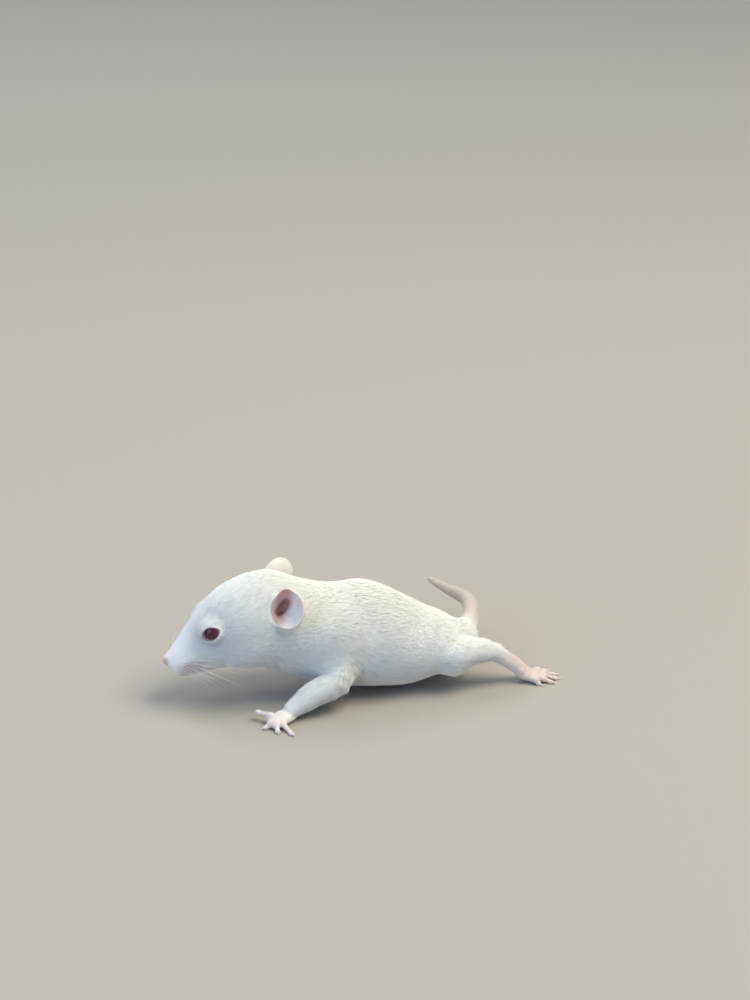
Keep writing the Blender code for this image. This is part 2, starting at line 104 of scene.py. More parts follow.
def from_head(place, side=1):
    """A place in the head's frame (along, sideways, up) as a point of the animal. side is +1 or -1."""
    along, sideways, up = place
    return HEAD_ORIGIN + along * HEAD_ALONG + side * sideways * LATERAL + up * HEAD_UP


def box_centre(node):
    low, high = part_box(node)
    return (np.array(low) + np.array(high)) / 2


SHIFT = box_centre("eye_left") / MM - from_head(EYE_PLACE, -1)


def to_model(points):
    """Millimetres in the animal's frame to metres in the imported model's frame."""
    return (np.asarray(points) + SHIFT) * MM


print("the packed model stands", np.round(SHIFT, 2), "mm from the animal's own frame")

# %% [markdown]
# ## Camera, light and floor
# A camera needs its place early, because every later choice is judged through it. A long lens from 40 cm
# away keeps the small head and the far tail in proportion. A large warm light stands high at the tail's end
# and models the back, a low cool one at the nose's end fills the shadows, and a pale one behind lights the
# far side. Soft lights suit fur, which looks harsh under a small one. The floor is plain, pale and matt.

# %% Camera
VIEW_HEIGHT = 165.0  # millimetres that the view is tall, VIEW_AWAY in front of the lens
CAMERA_AWAY, VIEW_AWAY = 400.0, 392.0
CAMERA_TURN, CAMERA_RISE = math.radians(-12), math.radians(24)
AIM_RIGHT, AIM_UP = 4.125, 31.02  # the middle of the view, from the floor under the chest
SENSOR = 36.0  # millimetres

backwards = np.array(
    [
        math.sin(CAMERA_TURN) * math.cos(CAMERA_RISE),
        -math.cos(CAMERA_TURN) * math.cos(CAMERA_RISE),
        math.sin(CAMERA_RISE),
    ]
)
rightwards = np.array([math.cos(CAMERA_TURN), math.sin(CAMERA_TURN), 0.0])
upwards = np.cross(backwards, rightwards)
camera = bpy.data.objects.new("camera", bpy.data.cameras.new("camera"))
bpy.context.scene.collection.objects.link(camera)
camera.location = to_model(rightwards * AIM_RIGHT + upwards * AIM_UP + backwards * CAMERA_AWAY)
camera.rotation_mode = "QUATERNION"
camera.rotation_quaternion = Vector(-backwards).to_track_quat("-Z", "Y")
camera.data.sensor_width = SENSOR
camera.data.lens = SENSOR * VIEW_AWAY / VIEW_HEIGHT
camera.data.clip_start, camera.data.clip_end = 0.01, 10.0
bpy.context.scene.camera = camera
print("lens", round(camera.data.lens, 1), "mm")

# %% Lights and air
LIGHT_SIZE = 0.5  # metres


def soft_light(name, turn, rise, away, power, colour):
    """A square light aimed at the animal's middle. turn and rise are in degrees, away in metres."""
    lamp = bpy.data.lights.new(name, "AREA")
    lamp.shape, lamp.size, lamp.energy, lamp.color = "SQUARE", LIGHT_SIZE, power, colour
    holder = bpy.data.objects.new(name, lamp)
    bpy.context.scene.collection.objects.link(holder)
    a, e = math.radians(turn), math.radians(rise)
    way = Vector((math.sin(a) * math.cos(e), -math.cos(a) * math.cos(e), math.sin(e)))
    holder.location = Vector((0, 0, 0.008)) + way * away
    holder.rotation_mode = "QUATERNION"
    holder.rotation_quaternion = way.to_track_quat("Z", "Y")
    return holder


soft_light("window", 65, 62, 0.8, 6.2, (1.0, 0.93, 0.72))
soft_light("cool_fill", -60, 22, 0.7, 1.8, (0.50, 0.70, 1.0))
soft_light("sky", -145, 55, 0.8, 2.4, (1.0, 0.98, 0.94))

world = bpy.data.worlds.new("air")
bpy.context.scene.world = world
world.use_nodes = True
background = world.node_tree.nodes["Background"]
background.inputs["Color"].default_value = (0.60, 0.78, 1.0, 1.0)
background.inputs["Strength"].default_value = 0.46
bpy.context.scene.view_settings.view_transform = "Standard"

# %% Floor
def plain_material(name, colour, roughness):
    material = bpy.data.materials.new(name)
    material.use_nodes = True
    shader = material.node_tree.nodes["Principled BSDF"]
    shader.inputs["Base Color"].default_value = (*colour, 1.0)
    shader.inputs["Roughness"].default_value = roughness
    return material


FLOOR_REACH = 3.0  # metres from its middle to its edge
floor_corners = [(x * FLOOR_REACH, y * FLOOR_REACH, 0.0) for x, y in ((-1, -1), (1, -1), (1, 1), (-1, 1))]
floor_mesh = bpy.data.meshes.new("floor")
floor_mesh.from_pydata(floor_corners, [], [(0, 1, 2, 3)])
floor_mesh.materials.append(plain_material("pale_floor", (0.40, 0.365, 0.33), 0.9))
floor = bpy.data.objects.new("floor", floor_mesh)
bpy.context.scene.collection.objects.link(floor)
floor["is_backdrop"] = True

# %% [markdown]
# ## Describing flesh with distances
# A body with legs, toes and ears is hard to build as one clean cage of faces. Instead each part is a simple
# shape that can say how far any point is from its surface: less than nothing inside, more than nothing
# outside. Two such distances are joined by a smooth minimum, which fills the crease between them as flesh
# does, and a smooth maximum carves one out of the other.

# %% Distances
def smooth_min(a, b, blend):
    share = np.clip(0.5 + 0.5 * (b - a) / blend, 0, 1)
    return b + (a - b) * share - blend * share * (1 - share)


def smooth_max(a, b, blend):
    return -smooth_min(-a, -b, blend)


def ramp(value, low, high):
    """0 below low, 1 above high, and a soft step between."""
    t = np.clip((value - low) / (high - low), 0, 1)
    return t * t * (3 - 2 * t)


def smooth_between(at, knots, values):
    """Values of a smooth curve through (knots, values), held constant past both ends."""
    knots, values = np.asarray(knots, float), np.asarray(values, float)
    at = np.clip(at, knots[0], knots[-1])
    slopes = np.gradient(values, knots)
    i = np.clip(np.searchsorted(knots, at) - 1, 0, len(knots) - 2)
    width = knots[i + 1] - knots[i]
    t = (at - knots[i]) / width
    return (
        (2 * t**3 - 3 * t**2 + 1) * values[i]
        + (t**3 - 2 * t**2 + t) * width * slopes[i]
        + (3 * t**2 - 2 * t**3) * values[i + 1]
        + (t**3 - t**2) * width * slopes[i + 1]
    )


def smooth_route(points, radii, steps=4):
    points = np.asarray(points, float)
    knots = np.arange(len(points))
    at = np.linspace(0, len(points) - 1, (len(points) - 1) * steps + 1)
    route = np.stack([smooth_between(at, knots, points[:, k]) for k in range(3)], axis=1)
    return route, smooth_between(at, knots, radii)


def ellipsoid_distance(points, centre, radii, axes=None):
    local = points - centre
    if axes is not None:
        local = local @ np.asarray(axes).T
    near = np.linalg.norm(local / radii, axis=1)
    slope = np.linalg.norm(local / np.square(radii), axis=1)
    return near * (near - 1) / np.maximum(slope, 1e-9)


def tube_distance(points, route, radii):
    nearest = np.full(len(points), 1e9)
    for a, b, ra, rb in zip(route[:-1], route[1:], radii[:-1], radii[1:]):
        span = b - a
        t = np.clip((points - a) @ span / (span @ span), 0, 1)
        away = np.linalg.norm(points - a - t[:, None] * span, axis=1)
        nearest = np.minimum(nearest, away - ra - t * (rb - ra))
    return nearest


# %% [markdown]
# ## The parts of the body
# Each part keeps its distance, how widely it blends into what is already there, a ball around it, so that
# points far away can skip it, and a few seed balls. The seeds only tell the remesher roughly where the
# flesh is.

# %% Shapes with seeds
Shape = namedtuple("Shape", "distance blend centre reach seeds")
EGG = 0.14  # how much narrower the back of a section is than its belly


def shape(distance, blend, seeds):
    centres = np.array([centre for centre, _, _ in seeds])
    middle = (centres.min(axis=0) + centres.max(axis=0)) / 2
    reach = max(np.linalg.norm(c - middle) + r.max() for c, r, _ in seeds)
    return Shape(distance, blend, middle, reach, seeds)


def ellipsoid(centre, radii, blend, axes=None):
    centre, radii = np.asarray(centre, float), np.asarray(radii, float)
    seeds = [(centre, radii, np.eye(3) if axes is None else np.asarray(axes))]
    return shape(lambda p: ellipsoid_distance(p, centre, radii, axes), blend, seeds)


def tube(points, radii, blend):
    route, thickness = smooth_route(points, radii)
    close, close_radii = smooth_route(points, radii, steps=10)
    seeds = [(c, np.full(3, r), np.eye(3)) for c, r in zip(close, close_radii)]
    return shape(lambda p: tube_distance(p, route, thickness), blend, seeds)


def swept(origin, axes, sections, blend):
    """A body whose egg-shaped section changes smoothly along the first of its axes."""
    origin, axes = np.asarray(origin, float), np.asarray(axes, float)
    knots, tops, bottoms, widths = np.array(sections).T

    def distance(points):
        along, sideways, up = ((points - origin) @ axes.T).T
        top, bottom = smooth_between(along, knots, tops), smooth_between(along, knots, bottoms)
        height = (top - bottom) / 2
        rise = (up - (top + bottom) / 2) / height
        half = smooth_between(along, knots, widths) * (1 - EGG * np.clip(rise, -1, 1))
        near = np.hypot(sideways / half, rise)
        slope = np.hypot(sideways / half**2, rise / height)
        side = near * (near - 1) / np.maximum(slope, 1e-9)
        return np.maximum(side, np.maximum(knots[0] - along, along - knots[-1]))

    seeds = []
    for along in np.arange(knots[0] + 1.0, knots[-1] - 0.5, 1.0):
        top, bottom, half = (smooth_between(along, knots, v) for v in (tops, bottoms, widths))
        centre = origin + along * axes[0] + (top + bottom) / 2 * axes[2]
        seeds.append((centre, np.array([1.6, 0.9 * half, 0.97 * (top - bottom) / 2]), axes))
    return shape(distance, blend, seeds)


# %% Trunk and head
# x, back line, belly line, half width
TRUNK_SECTIONS = (
    (-14.0, 16.5, 6.4, 4.8),
    (-8.0, 18.6, 2.8, 6.6),
    (-3.0, 19.1, 1.4, 7.4),
    (3.0, 18.3, 0.6, 8.1),
    (9.0, 15.2, 0.6, 7.9),
    (15.0, 11.9, 2.4, 6.6),
    (19.0, 9.6, 3.8, 4.7),
    (21.4, 8.4, 5.8, 1.8),
)
# along, top, bottom, half width, in the head's frame
HEAD_SECTIONS = (
    (-15.0, -5.0, -7.5, 1.5),
    (-12.0, -1.5, -9.5, 4.2),
    (-8.0, 3.3, -10.4, 5.9),
    (-4.0, 6.8, -10.2, 6.5),
    (-1.0, 7.7, -9.9, 6.6),
    (1.6, 7.8, -8.7, 6.5),
    (4.8, 7.3, -6.6, 5.9),
    (8.4, 5.7, -5.4, 4.8),
    (11.5, 3.8, -4.8, 3.7),
    (14.2, 1.9, -4.1, 3.1),
    (16.0, 0.8, -2.9, 2.2),
    (16.9, 0.3, -1.5, 1.2),
)
# what swells on each side of the head: its place in the head's frame, its radii, and how widely it blends in
HEAD_SWELLINGS = {
    "brow": ((7.8, 2.9, 2.9), (2.4, 1.8, 1.9), 1.4),
    "cheek": ((3.2, 3.4, -3.0), (4.6, 3.0, 3.4), 1.5),
    "whisker pad": ((13.9, 1.35, -1.7), (2.3, 1.75, 1.8), 0.9),
}


def head_shapes():
    jaw_line = (from_head((4.0, 0, -4.2)), from_head((9.0, 0, -3.8)), from_head((12.8, 0, -3.6)))
    jaw = tube(jaw_line, (2.7, 1.7, 1.0), 1.0)
    nose = ellipsoid(from_head((16.5, 0, -0.3)), (0.75, 1.05, 0.8), 0.5, HEAD_AXES)
    shapes = [swept(HEAD_ORIGIN, HEAD_AXES, HEAD_SECTIONS, 3.0), jaw, nose]
    for side in SIDES.values():
        for place, radii, blend in HEAD_SWELLINGS.values():
            shapes.append(ellipsoid(from_head(place, side), radii, blend, HEAD_AXES))
    return shapes


TRUNK = swept((0, 0, 0), np.eye(3), TRUNK_SECTIONS, 2.4)
SHOULDERS = [ellipsoid((-3.5, side * 3.6, 10.6), (5.4, 4.2, 5.6), 2.0) for side in SIDES.values()]

# %% Tail, legs and paws
TAIL_POINTS = (
    (16.8, 0.2, 6.9),
    (20.3, 1.8, 7.9),
    (22.0, 5.0, 8.7),
    (22.6, 9.4, 8.8),
    (22.1, 13.6, 8.0),
    (21.4, 18.1, 6.8),
    (20.5, 22.9, 5.8),
    (19.8, 26.2, 5.2),
)
TAIL_RADII = (2.1, 1.6, 1.45, 1.3, 1.15, 0.95, 0.75, 0.5)
# name: places along the leg, the radii there, and how widely it blends in
LEGS = {
    "foreleg_left": (
        ((-3.5, -4.6, 8.6), (-3.9, -7.6, 5.6), (-8.2, -9.0, 3.6), (-11.6, -9.8, 1.9)),
        (3.4, 2.7, 2.1, 1.5),
        1.6,
    ),
    "foreleg_right": (
        ((-3.0, 4.6, 8.6), (0.0, 7.2, 5.4), (-0.5, 7.8, 3.4), (-1.3, 8.0, 1.8)),
        (3.4, 2.6, 2.0, 1.45),
        1.6,
    ),
    "thigh_left": (((12.0, -2.6, 8.0), (16.0, -4.8, 6.3)), (4.2, 3.0), 2.0),
    "shank_left": (((16.0, -4.9, 6.1), (20.4, -4.8, 6.5), (23.6, -4.6, 5.9)), (2.8, 2.3, 1.45), 1.6),
    "thigh_right": (((13.0, 3.0, 7.1), (9.0, 6.4, 5.4)), (3.6, 3.0), 2.0),
    "shank_right": (((9.0, 6.8, 5.2), (13.0, 8.0, 3.6), (17.0, 8.4, 1.7)), (2.6, 1.9, 1.35), 1.2),
}
# the same for the bare part of each hind foot, from heel to palm
SOLES = {
    "left": (((23.6, -4.6, 5.9), (26.8, -4.6, 3.6), (29.1, -4.7, 1.5)), (1.45, 1.35, 1.1)),
    "right": (((17.3, 8.4, 1.25), (13.6, 8.8, 1.0), (10.4, 9.2, 1.0)), (1.4, 1.2, 1.2)),
}
# palm, its heading and radii, the tips of the digits from side to side, and half the thickness of a digit
Paw = namedtuple("Paw", "palm heading radii tips girth")
PAWS = {
    "forepaw_left": Paw(
        (-13.5, -10.7, 1.0),
        (-0.86, -0.5, -0.1),
        (2.0, 1.75, 1.1),
        ((-12.7, -15.0, 0.2), (-14.8, -13.9, 0.2), (-16.6, -12.2, 0.2), (-17.2, -9.0, 1.5)),
        0.5,
    ),
    "forepaw_right": Paw(
        (-2.8, 8.1, 1.0),
        (-0.99, 0.05, -0.1),
        (2.0, 1.7, 1.1),
        ((-6.3, 10.0, 0.2), (-7.1, 8.9, 0.2), (-7.0, 7.6, 0.2), (-6.0, 6.6, 0.2)),
        0.5,
    ),
    "hindfoot_left": Paw(
        (29.2, -4.8, 1.3),
        (0.90, -0.06, -0.42),
        (2.0, 1.6, 1.0),
        ((31.0, -7.0, 0.2), (33.2, -6.8, 0.2), (34.3, -5.6, 0.2), (34.4, -4.2, 0.2), (33.2, -3.0, 0.4)),
        0.46,
    ),
    "hindfoot_right": Paw(
        (10.2, 9.2, 0.95),
        (-0.99, 0.04, -0.05),
        (1.9, 1.7, 0.95),
        ((7.9, 11.6, 0.2), (5.9, 10.6, 0.2), (5.4, 9.2, 0.2), (5.9, 7.8, 0.2), (8.2, 6.9, 0.2)),
        0.48,
    ),
}
KNUCKLE_RISE = 0.3


def paw_axes(paw):
    """A paw's own axes: towards its digits, across it, and square to both."""
    heading = unit(paw.heading)
    across = unit(np.array([-heading[1], heading[0], 0.0]))
    return np.array([heading, across, np.cross(heading, across)])


def digit_route(paw, k):
    """Start, knuckle and tip of digit k of a paw."""
    heading, across, _ = paw_axes(paw)
    share = k / (len(paw.tips) - 1) * 2 - 1
    ahead = (0.75 - 0.35 * share**2) * paw.radii[0]
    start = np.array(paw.palm) + ahead * heading + 0.7 * share * paw.radii[1] * across
    tip = np.asarray(paw.tips[k], float)
    knuckle = 0.5 * (start + tip)
    knuckle[2] += KNUCKLE_RISE
    return start, knuckle, tip


def paw_shapes(paw):
    """A palm and its digits, which get thinner from root to tip."""
    shapes = [ellipsoid(paw.palm, paw.radii, 0.7, paw_axes(paw))]
    for k in range(len(paw.tips)):
        radii = (paw.girth * 1.2, paw.girth, paw.girth * 0.72)
        shapes.append(tube(digit_route(paw, k), radii, 0.3))
    return shapes


TAIL = tube(TAIL_POINTS, TAIL_RADII, 1.6)
FURRED_LEGS = [tube(*leg) for leg in LEGS.values()]
SOLE_SHAPES = [tube(points, radii, 0.8) for points, radii in SOLES.values()]
PAW_SHAPES = [part for paw in PAWS.values() for part in paw_shapes(paw)]
print("shapes in the legs:", len(FURRED_LEGS) + len(SOLE_SHAPES) + len(PAW_SHAPES))

# %% [markdown]
# ## Ears
# A pup's ear is a small thick bowl that opens forwards and outwards. It is the back half of a hollow
# ellipsoid, with its own frame: across, tall, and out of its mouth. The skin of it is thinner than the
# solid ear, whose thickness also holds the down on its back.

# %% Ear bowls
# centre of each ear's bowl in the head's frame, and the way its mouth faces; the right ear is turned outwards
EAR_PLACES = {-1: (-5.1, 6.8, 2.5), 1: (-5.1, 6.7, 2.2)}
EAR_MOUTHS = {-1: (-0.58, -0.76, 0.20), 1: (-0.20, 0.95, 0.20)}
EAR_LIP = 0.35  # how far the bowl's rim reaches past its widest place
EAR_TILT = 0.36  # how much lower the bowl's rim is at its front, for each millimetre forwards
EAR_RADII = np.array([2.9, 3.15, 1.7])  # half width, half height and depth of the bowl
EAR_WALL = 0.44
EAR_OUT = 0.12  # how far the middle of the wall lies outside the bowl
# the ear canal: its place towards the face, tall and out of the mouth, its radii, and its lean in degrees
CANAL_PLACE, CANAL_RADII, CANAL_LEAN = np.array([1.35, -0.75, -1.2]), np.array([0.5, 1.45, 0.9]), 12


def ear_frame(side):
    mouth = unit(EAR_MOUTHS[side])
    tall = np.array([0.22, 0.10 * side, 0.95])
    tall = unit(tall - (tall @ mouth) * mouth)
    return from_head(EAR_PLACES[side], side), np.array([np.cross(tall, mouth), tall, mouth])


def ear_local(points, side):
    """Points in an ear's frame, with the first number counted towards the face on both sides."""
    centre, axes = ear_frame(side)
    return ((points - centre) @ axes.T) * (side, 1, 1)


def canal_distance(points, side):
    """Distance to the ear canal: a slanting hollow at the front of the bowl."""
    lean = math.radians(CANAL_LEAN)
    turned = [(math.cos(lean), math.sin(lean), 0), (-math.sin(lean), math.cos(lean), 0), (0, 0, 1)]
    return ellipsoid_distance(ear_local(points, side), CANAL_PLACE, CANAL_RADII, turned)


def ear(side):
    centre, axes = ear_frame(side)
    seeds = []
    for turn in np.linspace(0, math.tau, 28, endpoint=False):
        for dip in np.linspace(0, math.pi / 2, 9):
            rim = math.cos(dip)
            local = EAR_RADII * (rim * math.cos(turn), rim * math.sin(turn), -math.sin(dip))
            seeds.append((centre + local @ axes, np.full(3, 0.4), np.eye(3)))

    def distance(points):
        local = (points - centre) @ axes.T
        wall = np.abs(ellipsoid_distance(local, 0.0, EAR_RADII) - EAR_OUT) - EAR_WALL / 2
        past_rim = local[:, 2] - EAR_LIP + EAR_TILT * np.maximum(side * local[:, 0], 0)
        return smooth_max(wall, past_rim, EAR_WALL / 2)

    return shape(distance, 0.8, seeds)


def ear_fold(side):
    """The low ridge inside the bowl, between its middle and its back rim."""
    centre, axes = ear_frame(side)
    turns = np.radians((-70, -110, -150, 170, 125, 85))
    local = [(side * 1.6 * math.cos(t), 1.9 * math.sin(t), -0.76 * EAR_RADII[2]) for t in turns]
    return tube([centre + np.array(p) @ axes for p in local], (0.12, 0.26, 0.3, 0.3, 0.26, 0.12), 0.5)


EARS = [ear(side) for side in SIDES.values()]
EAR_FOLDS = [ear_fold(side) for side in SIDES.values()]
print("an ear is", 2 * EAR_RADII[1], "mm tall, and its skin is", EAR_WALL, "mm thick")

# %% [markdown]
# ## The whole body as one distance
# The solids reach to the tips of the hairs. The skin lies deeper: far under the long coat of the back, a
# little under the plush of the face, and hardly at all on hands, feet, ears and tail. How much each point
# belongs to each part of the body decides that depth, and later the length, lie and colour of the hairs.

# %% Body and belonging
HEAD_SHAPES = head_shapes()
BODY = [TRUNK, *HEAD_SHAPES, *SHOULDERS, TAIL, *FURRED_LEGS, *SOLE_SHAPES, *PAW_SHAPES]
OUT_OF_REACH = 6.0  # parts that are farther from a point than this all count alike
PARTS = ("trunk", "head", "legs", "tail", "feet", "ears")
PART_SHAPES = ([TRUNK, *SHOULDERS], HEAD_SHAPES, FURRED_LEGS, [TAIL], [*SOLE_SHAPES, *PAW_SHAPES], EARS)


def joined(total, points, part):
    """The distance so far with one more part joined on, worked out only where the part can reach."""
    near = np.linalg.norm(points - part.centre, axis=1) - part.reach < total + part.blend
    total = total.copy()
    total[near] = smooth_min(total[near], part.distance(points[near]), part.blend)
    return total


def outline_distance(points):
    total = BODY[0].distance(points)
    for part in BODY[1:]:
        total = joined(total, points, part)
    for side in SIDES.values():
        centre, axes = ear_frame(side)
        hollow = ellipsoid_distance(points, centre, EAR_RADII + EAR_OUT - EAR_WALL / 2, axes)
        total = smooth_max(total, -hollow, 0.4)
    for part in EARS:
        total = joined(total, points, part)
    return total


def belonging(points, softness=1.0):
    """For each point, the share of it that belongs to each of PARTS."""
    distances = np.full((len(points), len(PARTS)), OUT_OF_REACH)
    for k, shapes in enumerate(PART_SHAPES):
        for part in shapes:
            near = np.linalg.norm(points - part.centre, axis=1) - part.reach < distances[:, k]
            distances[near, k] = np.minimum(distances[near, k], part.distance(points[near]))
    weights = np.exp((distances.min(axis=1, keepdims=True) - distances) / softness)
    return weights / weights.sum(axis=1, keepdims=True)


def head_coordinates(points):
    """Points as (along, sideways, up) in the head's frame. Sideways is counted outwards on both sides."""
    local = (points - HEAD_ORIGIN) @ HEAD_AXES.T
    local[:, 1] = np.abs(local[:, 1])
    return local


PALMS = np.array([paw.palm for paw in PAWS.values()])
TAIL_ROUTE = smooth_route(TAIL_POINTS, TAIL_RADII, steps=8)[0]
TAIL_LENGTHS = np.concatenate([[0], np.cumsum(np.linalg.norm(np.diff(TAIL_ROUTE, axis=0), axis=1))])
TRUNK_DEPTH, FOOT_DEPTH, EAR_DEPTH = 0.62, 0.05, 0.04
HEAD_DEPTHS = ((-7, 0.6), (2, 0.45), (8, 0.34), (12.5, 0.2), (15.2, 0.07), (16.3, 0))  # along the head, depth


def tail_station(points):
    """How far along the tail each point lies, in millimetres from its root."""
    spans = TAIL_ROUTE[None, 1:] - TAIL_ROUTE[None, :-1]
    offsets = points[:, None] - TAIL_ROUTE[None, :-1]
    t = np.clip((offsets * spans).sum(axis=2) / (spans**2).sum(axis=2), 0, 1)
    away = np.linalg.norm(offsets - t[..., None] * spans, axis=2)
    nearest = away.argmin(axis=1)
    rows = np.arange(len(points))
    return TAIL_LENGTHS[nearest] + t[rows, nearest] * np.diff(TAIL_LENGTHS)[nearest]


def by_the_ears(points):
    """1 on the ears and just beside them, where the skin must not sink or it would open their thin walls."""
    return 1 - ramp(np.minimum(*(part.distance(points) for part in EARS)), 0.1, 1.1)


def from_palms(points):
    """How far each point lies from the middle of the nearest palm, and which palm that is."""
    away = np.linalg.norm(points[:, None] - PALMS[None], axis=2)
    return away.min(axis=1), away.argmin(axis=1)


def blended(shares, values):
    """One value of each of PARTS, a number or a row of them, mixed by what the points belong to."""
    rows = np.stack([np.broadcast_to(value, len(shares)) for value in values])
    return (shares * rows.T).sum(axis=1)


def coat_depth(points, shares):
    """How deep the skin lies under the tips of the hairs, in millimetres."""
    head = smooth_between(head_coordinates(points)[:, 0], *np.array(HEAD_DEPTHS).T)
    legs = 0.14 + 0.34 * ramp(from_palms(points)[0], 2.5, 7.5)
    tail = 0.05 + 0.35 * (1 - ramp(tail_station(points), 0.0, 5.0))
    depth = blended(shares, (TRUNK_DEPTH, head, legs, tail, FOOT_DEPTH, EAR_DEPTH))
    return np.maximum(depth * (1 - by_the_ears(points)), EAR_DEPTH)


print("the tail is", round(float(TAIL_LENGTHS[-1]), 1), "mm long")

# %% [markdown]
# ## Small forms of the face and feet
# Eyelids, nostrils, lips, pads and wrinkles are too small for the first rough mesh, so they are a second
# layer of the same description. The eyelids are a thin shell round the eyeball with an almond opening cut
# into it. The skin inside that opening stops just under the eyeball's surface, so nothing shows between
# them.

# %% Eyes
LID = 0.13  # thickness of an eyelid
OPENING = (1.56, 1.10)  # half length and half height of the opening between the lids
LINING = 0.12  # how far the skin inside the opening lies under the eyeball's surface
LID_BLEND, LID_EDGE = 0.9, 0.07  # how softly the lids run into the face and turn in at their edge


def eye_frame(side):
    """Centre of an eye and its axes: towards the nose, up and outwards."""
    out = unit(0.34 * HEAD_ALONG + 0.90 * side * LATERAL + 0.26 * HEAD_UP)
    front = unit(HEAD_ALONG - (HEAD_ALONG @ out) * out)
    upright = unit(HEAD_UP - (HEAD_UP @ out) * out - (HEAD_UP @ front) * front)
    return from_head(EYE_PLACE, side), np.array([front, upright, out])


def from_eye(points, side):
    """How far each point lies from the middle of an eyeball."""
    return np.linalg.norm(points - from_head(EYE_PLACE, side), axis=1)


def eye_local(points, side):
    centre, axes = eye_frame(side)
    return (points - centre) @ axes.T


def opening_distance(points, side):
    """Distance from the rim of the opening between the lids, less than nothing inside it."""
    front, up, out = eye_local(points, side).T
    almond = OPENING[1] * (1 - 0.22 * np.clip(np.abs(front) / OPENING[0], 0, 1.4) ** 2)
    rim = (np.hypot(front / OPENING[0], up / almond) - 1) * OPENING[1]
    return np.maximum(rim, 0.2 - out)


def with_eyes(total, points, opened=True):
    """The lids as a shell over each eyeball, cut open unless the eyes are still shut."""
    for side in SIDES.values():
        near = from_eye(points, side) < 3.2
        p = points[near]
        ball = from_eye(p, side) - EYE_RADIUS
        rim = opening_distance(p, side)
        puff = 0.03 * np.exp(-np.square((rim - 0.22) / 0.16))  # the soft roll of the lid's edge
        d = smooth_min(total[near], ball - LID - puff, LID_BLEND)
        if opened:
            d = smooth_max(d, -np.maximum(rim, -(ball + LINING)), LID_EDGE)
        total[near] = d
    return total


# %% Nose, mouth and whisker pads
NOSTRIL_PLACE, NOSTRIL_RADII = (16.95, 0.66, -0.42), (0.30, 0.34, 0.20)
MOUTH_CORNER = 10.4  # how far along the head the mouth starts
LIP_LINE = ((10.2, -4.6), (12.5, -4.0), (14.2, -3.35), (15.4, -2.75), (17.5, -2.2))  # along, up


def with_muzzle(total, points):
    """The lips parted by a thin line, the cleft over them, and the nostrils, all cut into the muzzle."""
    near = np.linalg.norm(points - from_head((14.0, 0, -2.0)), axis=1) < 6.5
    p = points[near]
    along, sideways, up = head_coordinates(p).T
    d = total[near]
    lips = smooth_between(along, *np.array(LIP_LINE).T)
    mouth = np.maximum.reduce([np.abs(up - lips) - 0.05, -d - 0.35, MOUTH_CORNER - along])
    d = smooth_max(d, -mouth, 0.22)
    cleft = np.maximum.reduce([sideways - 0.05, -d - 0.25, lips - up, up + 0.95])
    d = smooth_max(d, -cleft, 0.22)
    for side in SIDES.values():
        outwards = unit(side * LATERAL + 0.45 * HEAD_UP)
        axes = np.array([HEAD_ALONG, outwards, unit(HEAD_UP - 0.45 * side * LATERAL)])
        nostril = ellipsoid_distance(p, from_head(NOSTRIL_PLACE, side), NOSTRIL_RADII, axes)
        d = smooth_max(d, -nostril, 0.12)
    total[near] = d
    return total


# %% Ears and paws close up
def with_ears(total, points):
    for fold in EAR_FOLDS:
        total = joined(total, points, fold)
    for side in SIDES.values():
        near = np.linalg.norm(points - ear_frame(side)[0], axis=1) < 4.5
        total[near] = smooth_max(total[near], -canal_distance(points[near], side), 0.5)
    return total


SOLE_FACES = {"hindfoot_left": 1}  # the sole of the foot stretched out behind faces up, the others down
PAD_RADII = (0.48, 0.48, 0.42)


def pads_of(name):
    """The cushions under a palm: two at its heel, and one behind each gap between its digits."""
    palm, _, radii, tips, _ = PAWS[name]
    heading, across, upright = paw_axes(PAWS[name])
    under = unit(upright) * SOLE_FACES.get(name, -1)
    pads = []
    for side in (-1, 1):
        heel = np.array(palm) + side * 0.62 * radii[1] * across - 0.7 * radii[0] * heading
        pads.append(heel + 0.6 * radii[2] * under)
    for k in range(len(tips) - 1):
        share = (k + 0.5) / (len(tips) - 1) * 2 - 1
        front = np.array(palm) + 0.72 * radii[0] * heading + 0.62 * share * radii[1] * across
        pads.append(front + 0.52 * radii[2] * under)
    return [ellipsoid(place, PAD_RADII, 0.55) for place in pads]


def knuckles_of(paw):
    """A swelling at each joint and at the fleshy tip of each digit."""
    swellings = []
    for k in range(len(paw.tips)):
        _, knuckle, tip = digit_route(paw, k)
        back = 0.12 * (knuckle - tip) / np.linalg.norm(knuckle - tip)
        swellings.append(ellipsoid(knuckle + (0, 0, 0.05), np.full(3, paw.girth * 1.08), 0.3))
        swellings.append(ellipsoid(tip + back, np.full(3, paw.girth * 0.9), 0.25))
    return swellings


def web_of(paw):
    """The skin that fills the place where the digits leave the palm."""
    axes = paw_axes(paw)
    middle = np.array(paw.palm) + 0.85 * paw.radii[0] * axes[0]
    return ellipsoid(middle, (1.0, 0.8 * paw.radii[1], 0.62 * paw.radii[2]), 0.8, axes)


PAW_DETAILS = []
for name, paw in PAWS.items():
    PAW_DETAILS += [web_of(paw), *pads_of(name), *knuckles_of(paw)]
FLOOR_REST = 0.015  # the soles press flat this far above the floor


def skin_distance(points, detailed=True):
    """Distance to the skin of the whole animal."""
    total = outline_distance(points) + coat_depth(points, belonging(points))
    total = with_eyes(total, points, opened=detailed)
    if detailed:
        for part in PAW_DETAILS:
            total = joined(total, points, part)
        total = with_ears(with_muzzle(total, points), points)
    return smooth_max(total, FLOOR_REST - points[:, 2], 0.12)


print("small forms on the paws:", len(PAW_DETAILS))

# %% [markdown]
# ## From distances to one skin
# The seeds are melted into one closed mesh by a voxel remesh, and its points slide down the slope of the
# distance until they lie on the skin. Then the mesh is made finer where the small forms are, and slides
# again. That spends the triangles on the face, ears and feet, and keeps the plain back light.

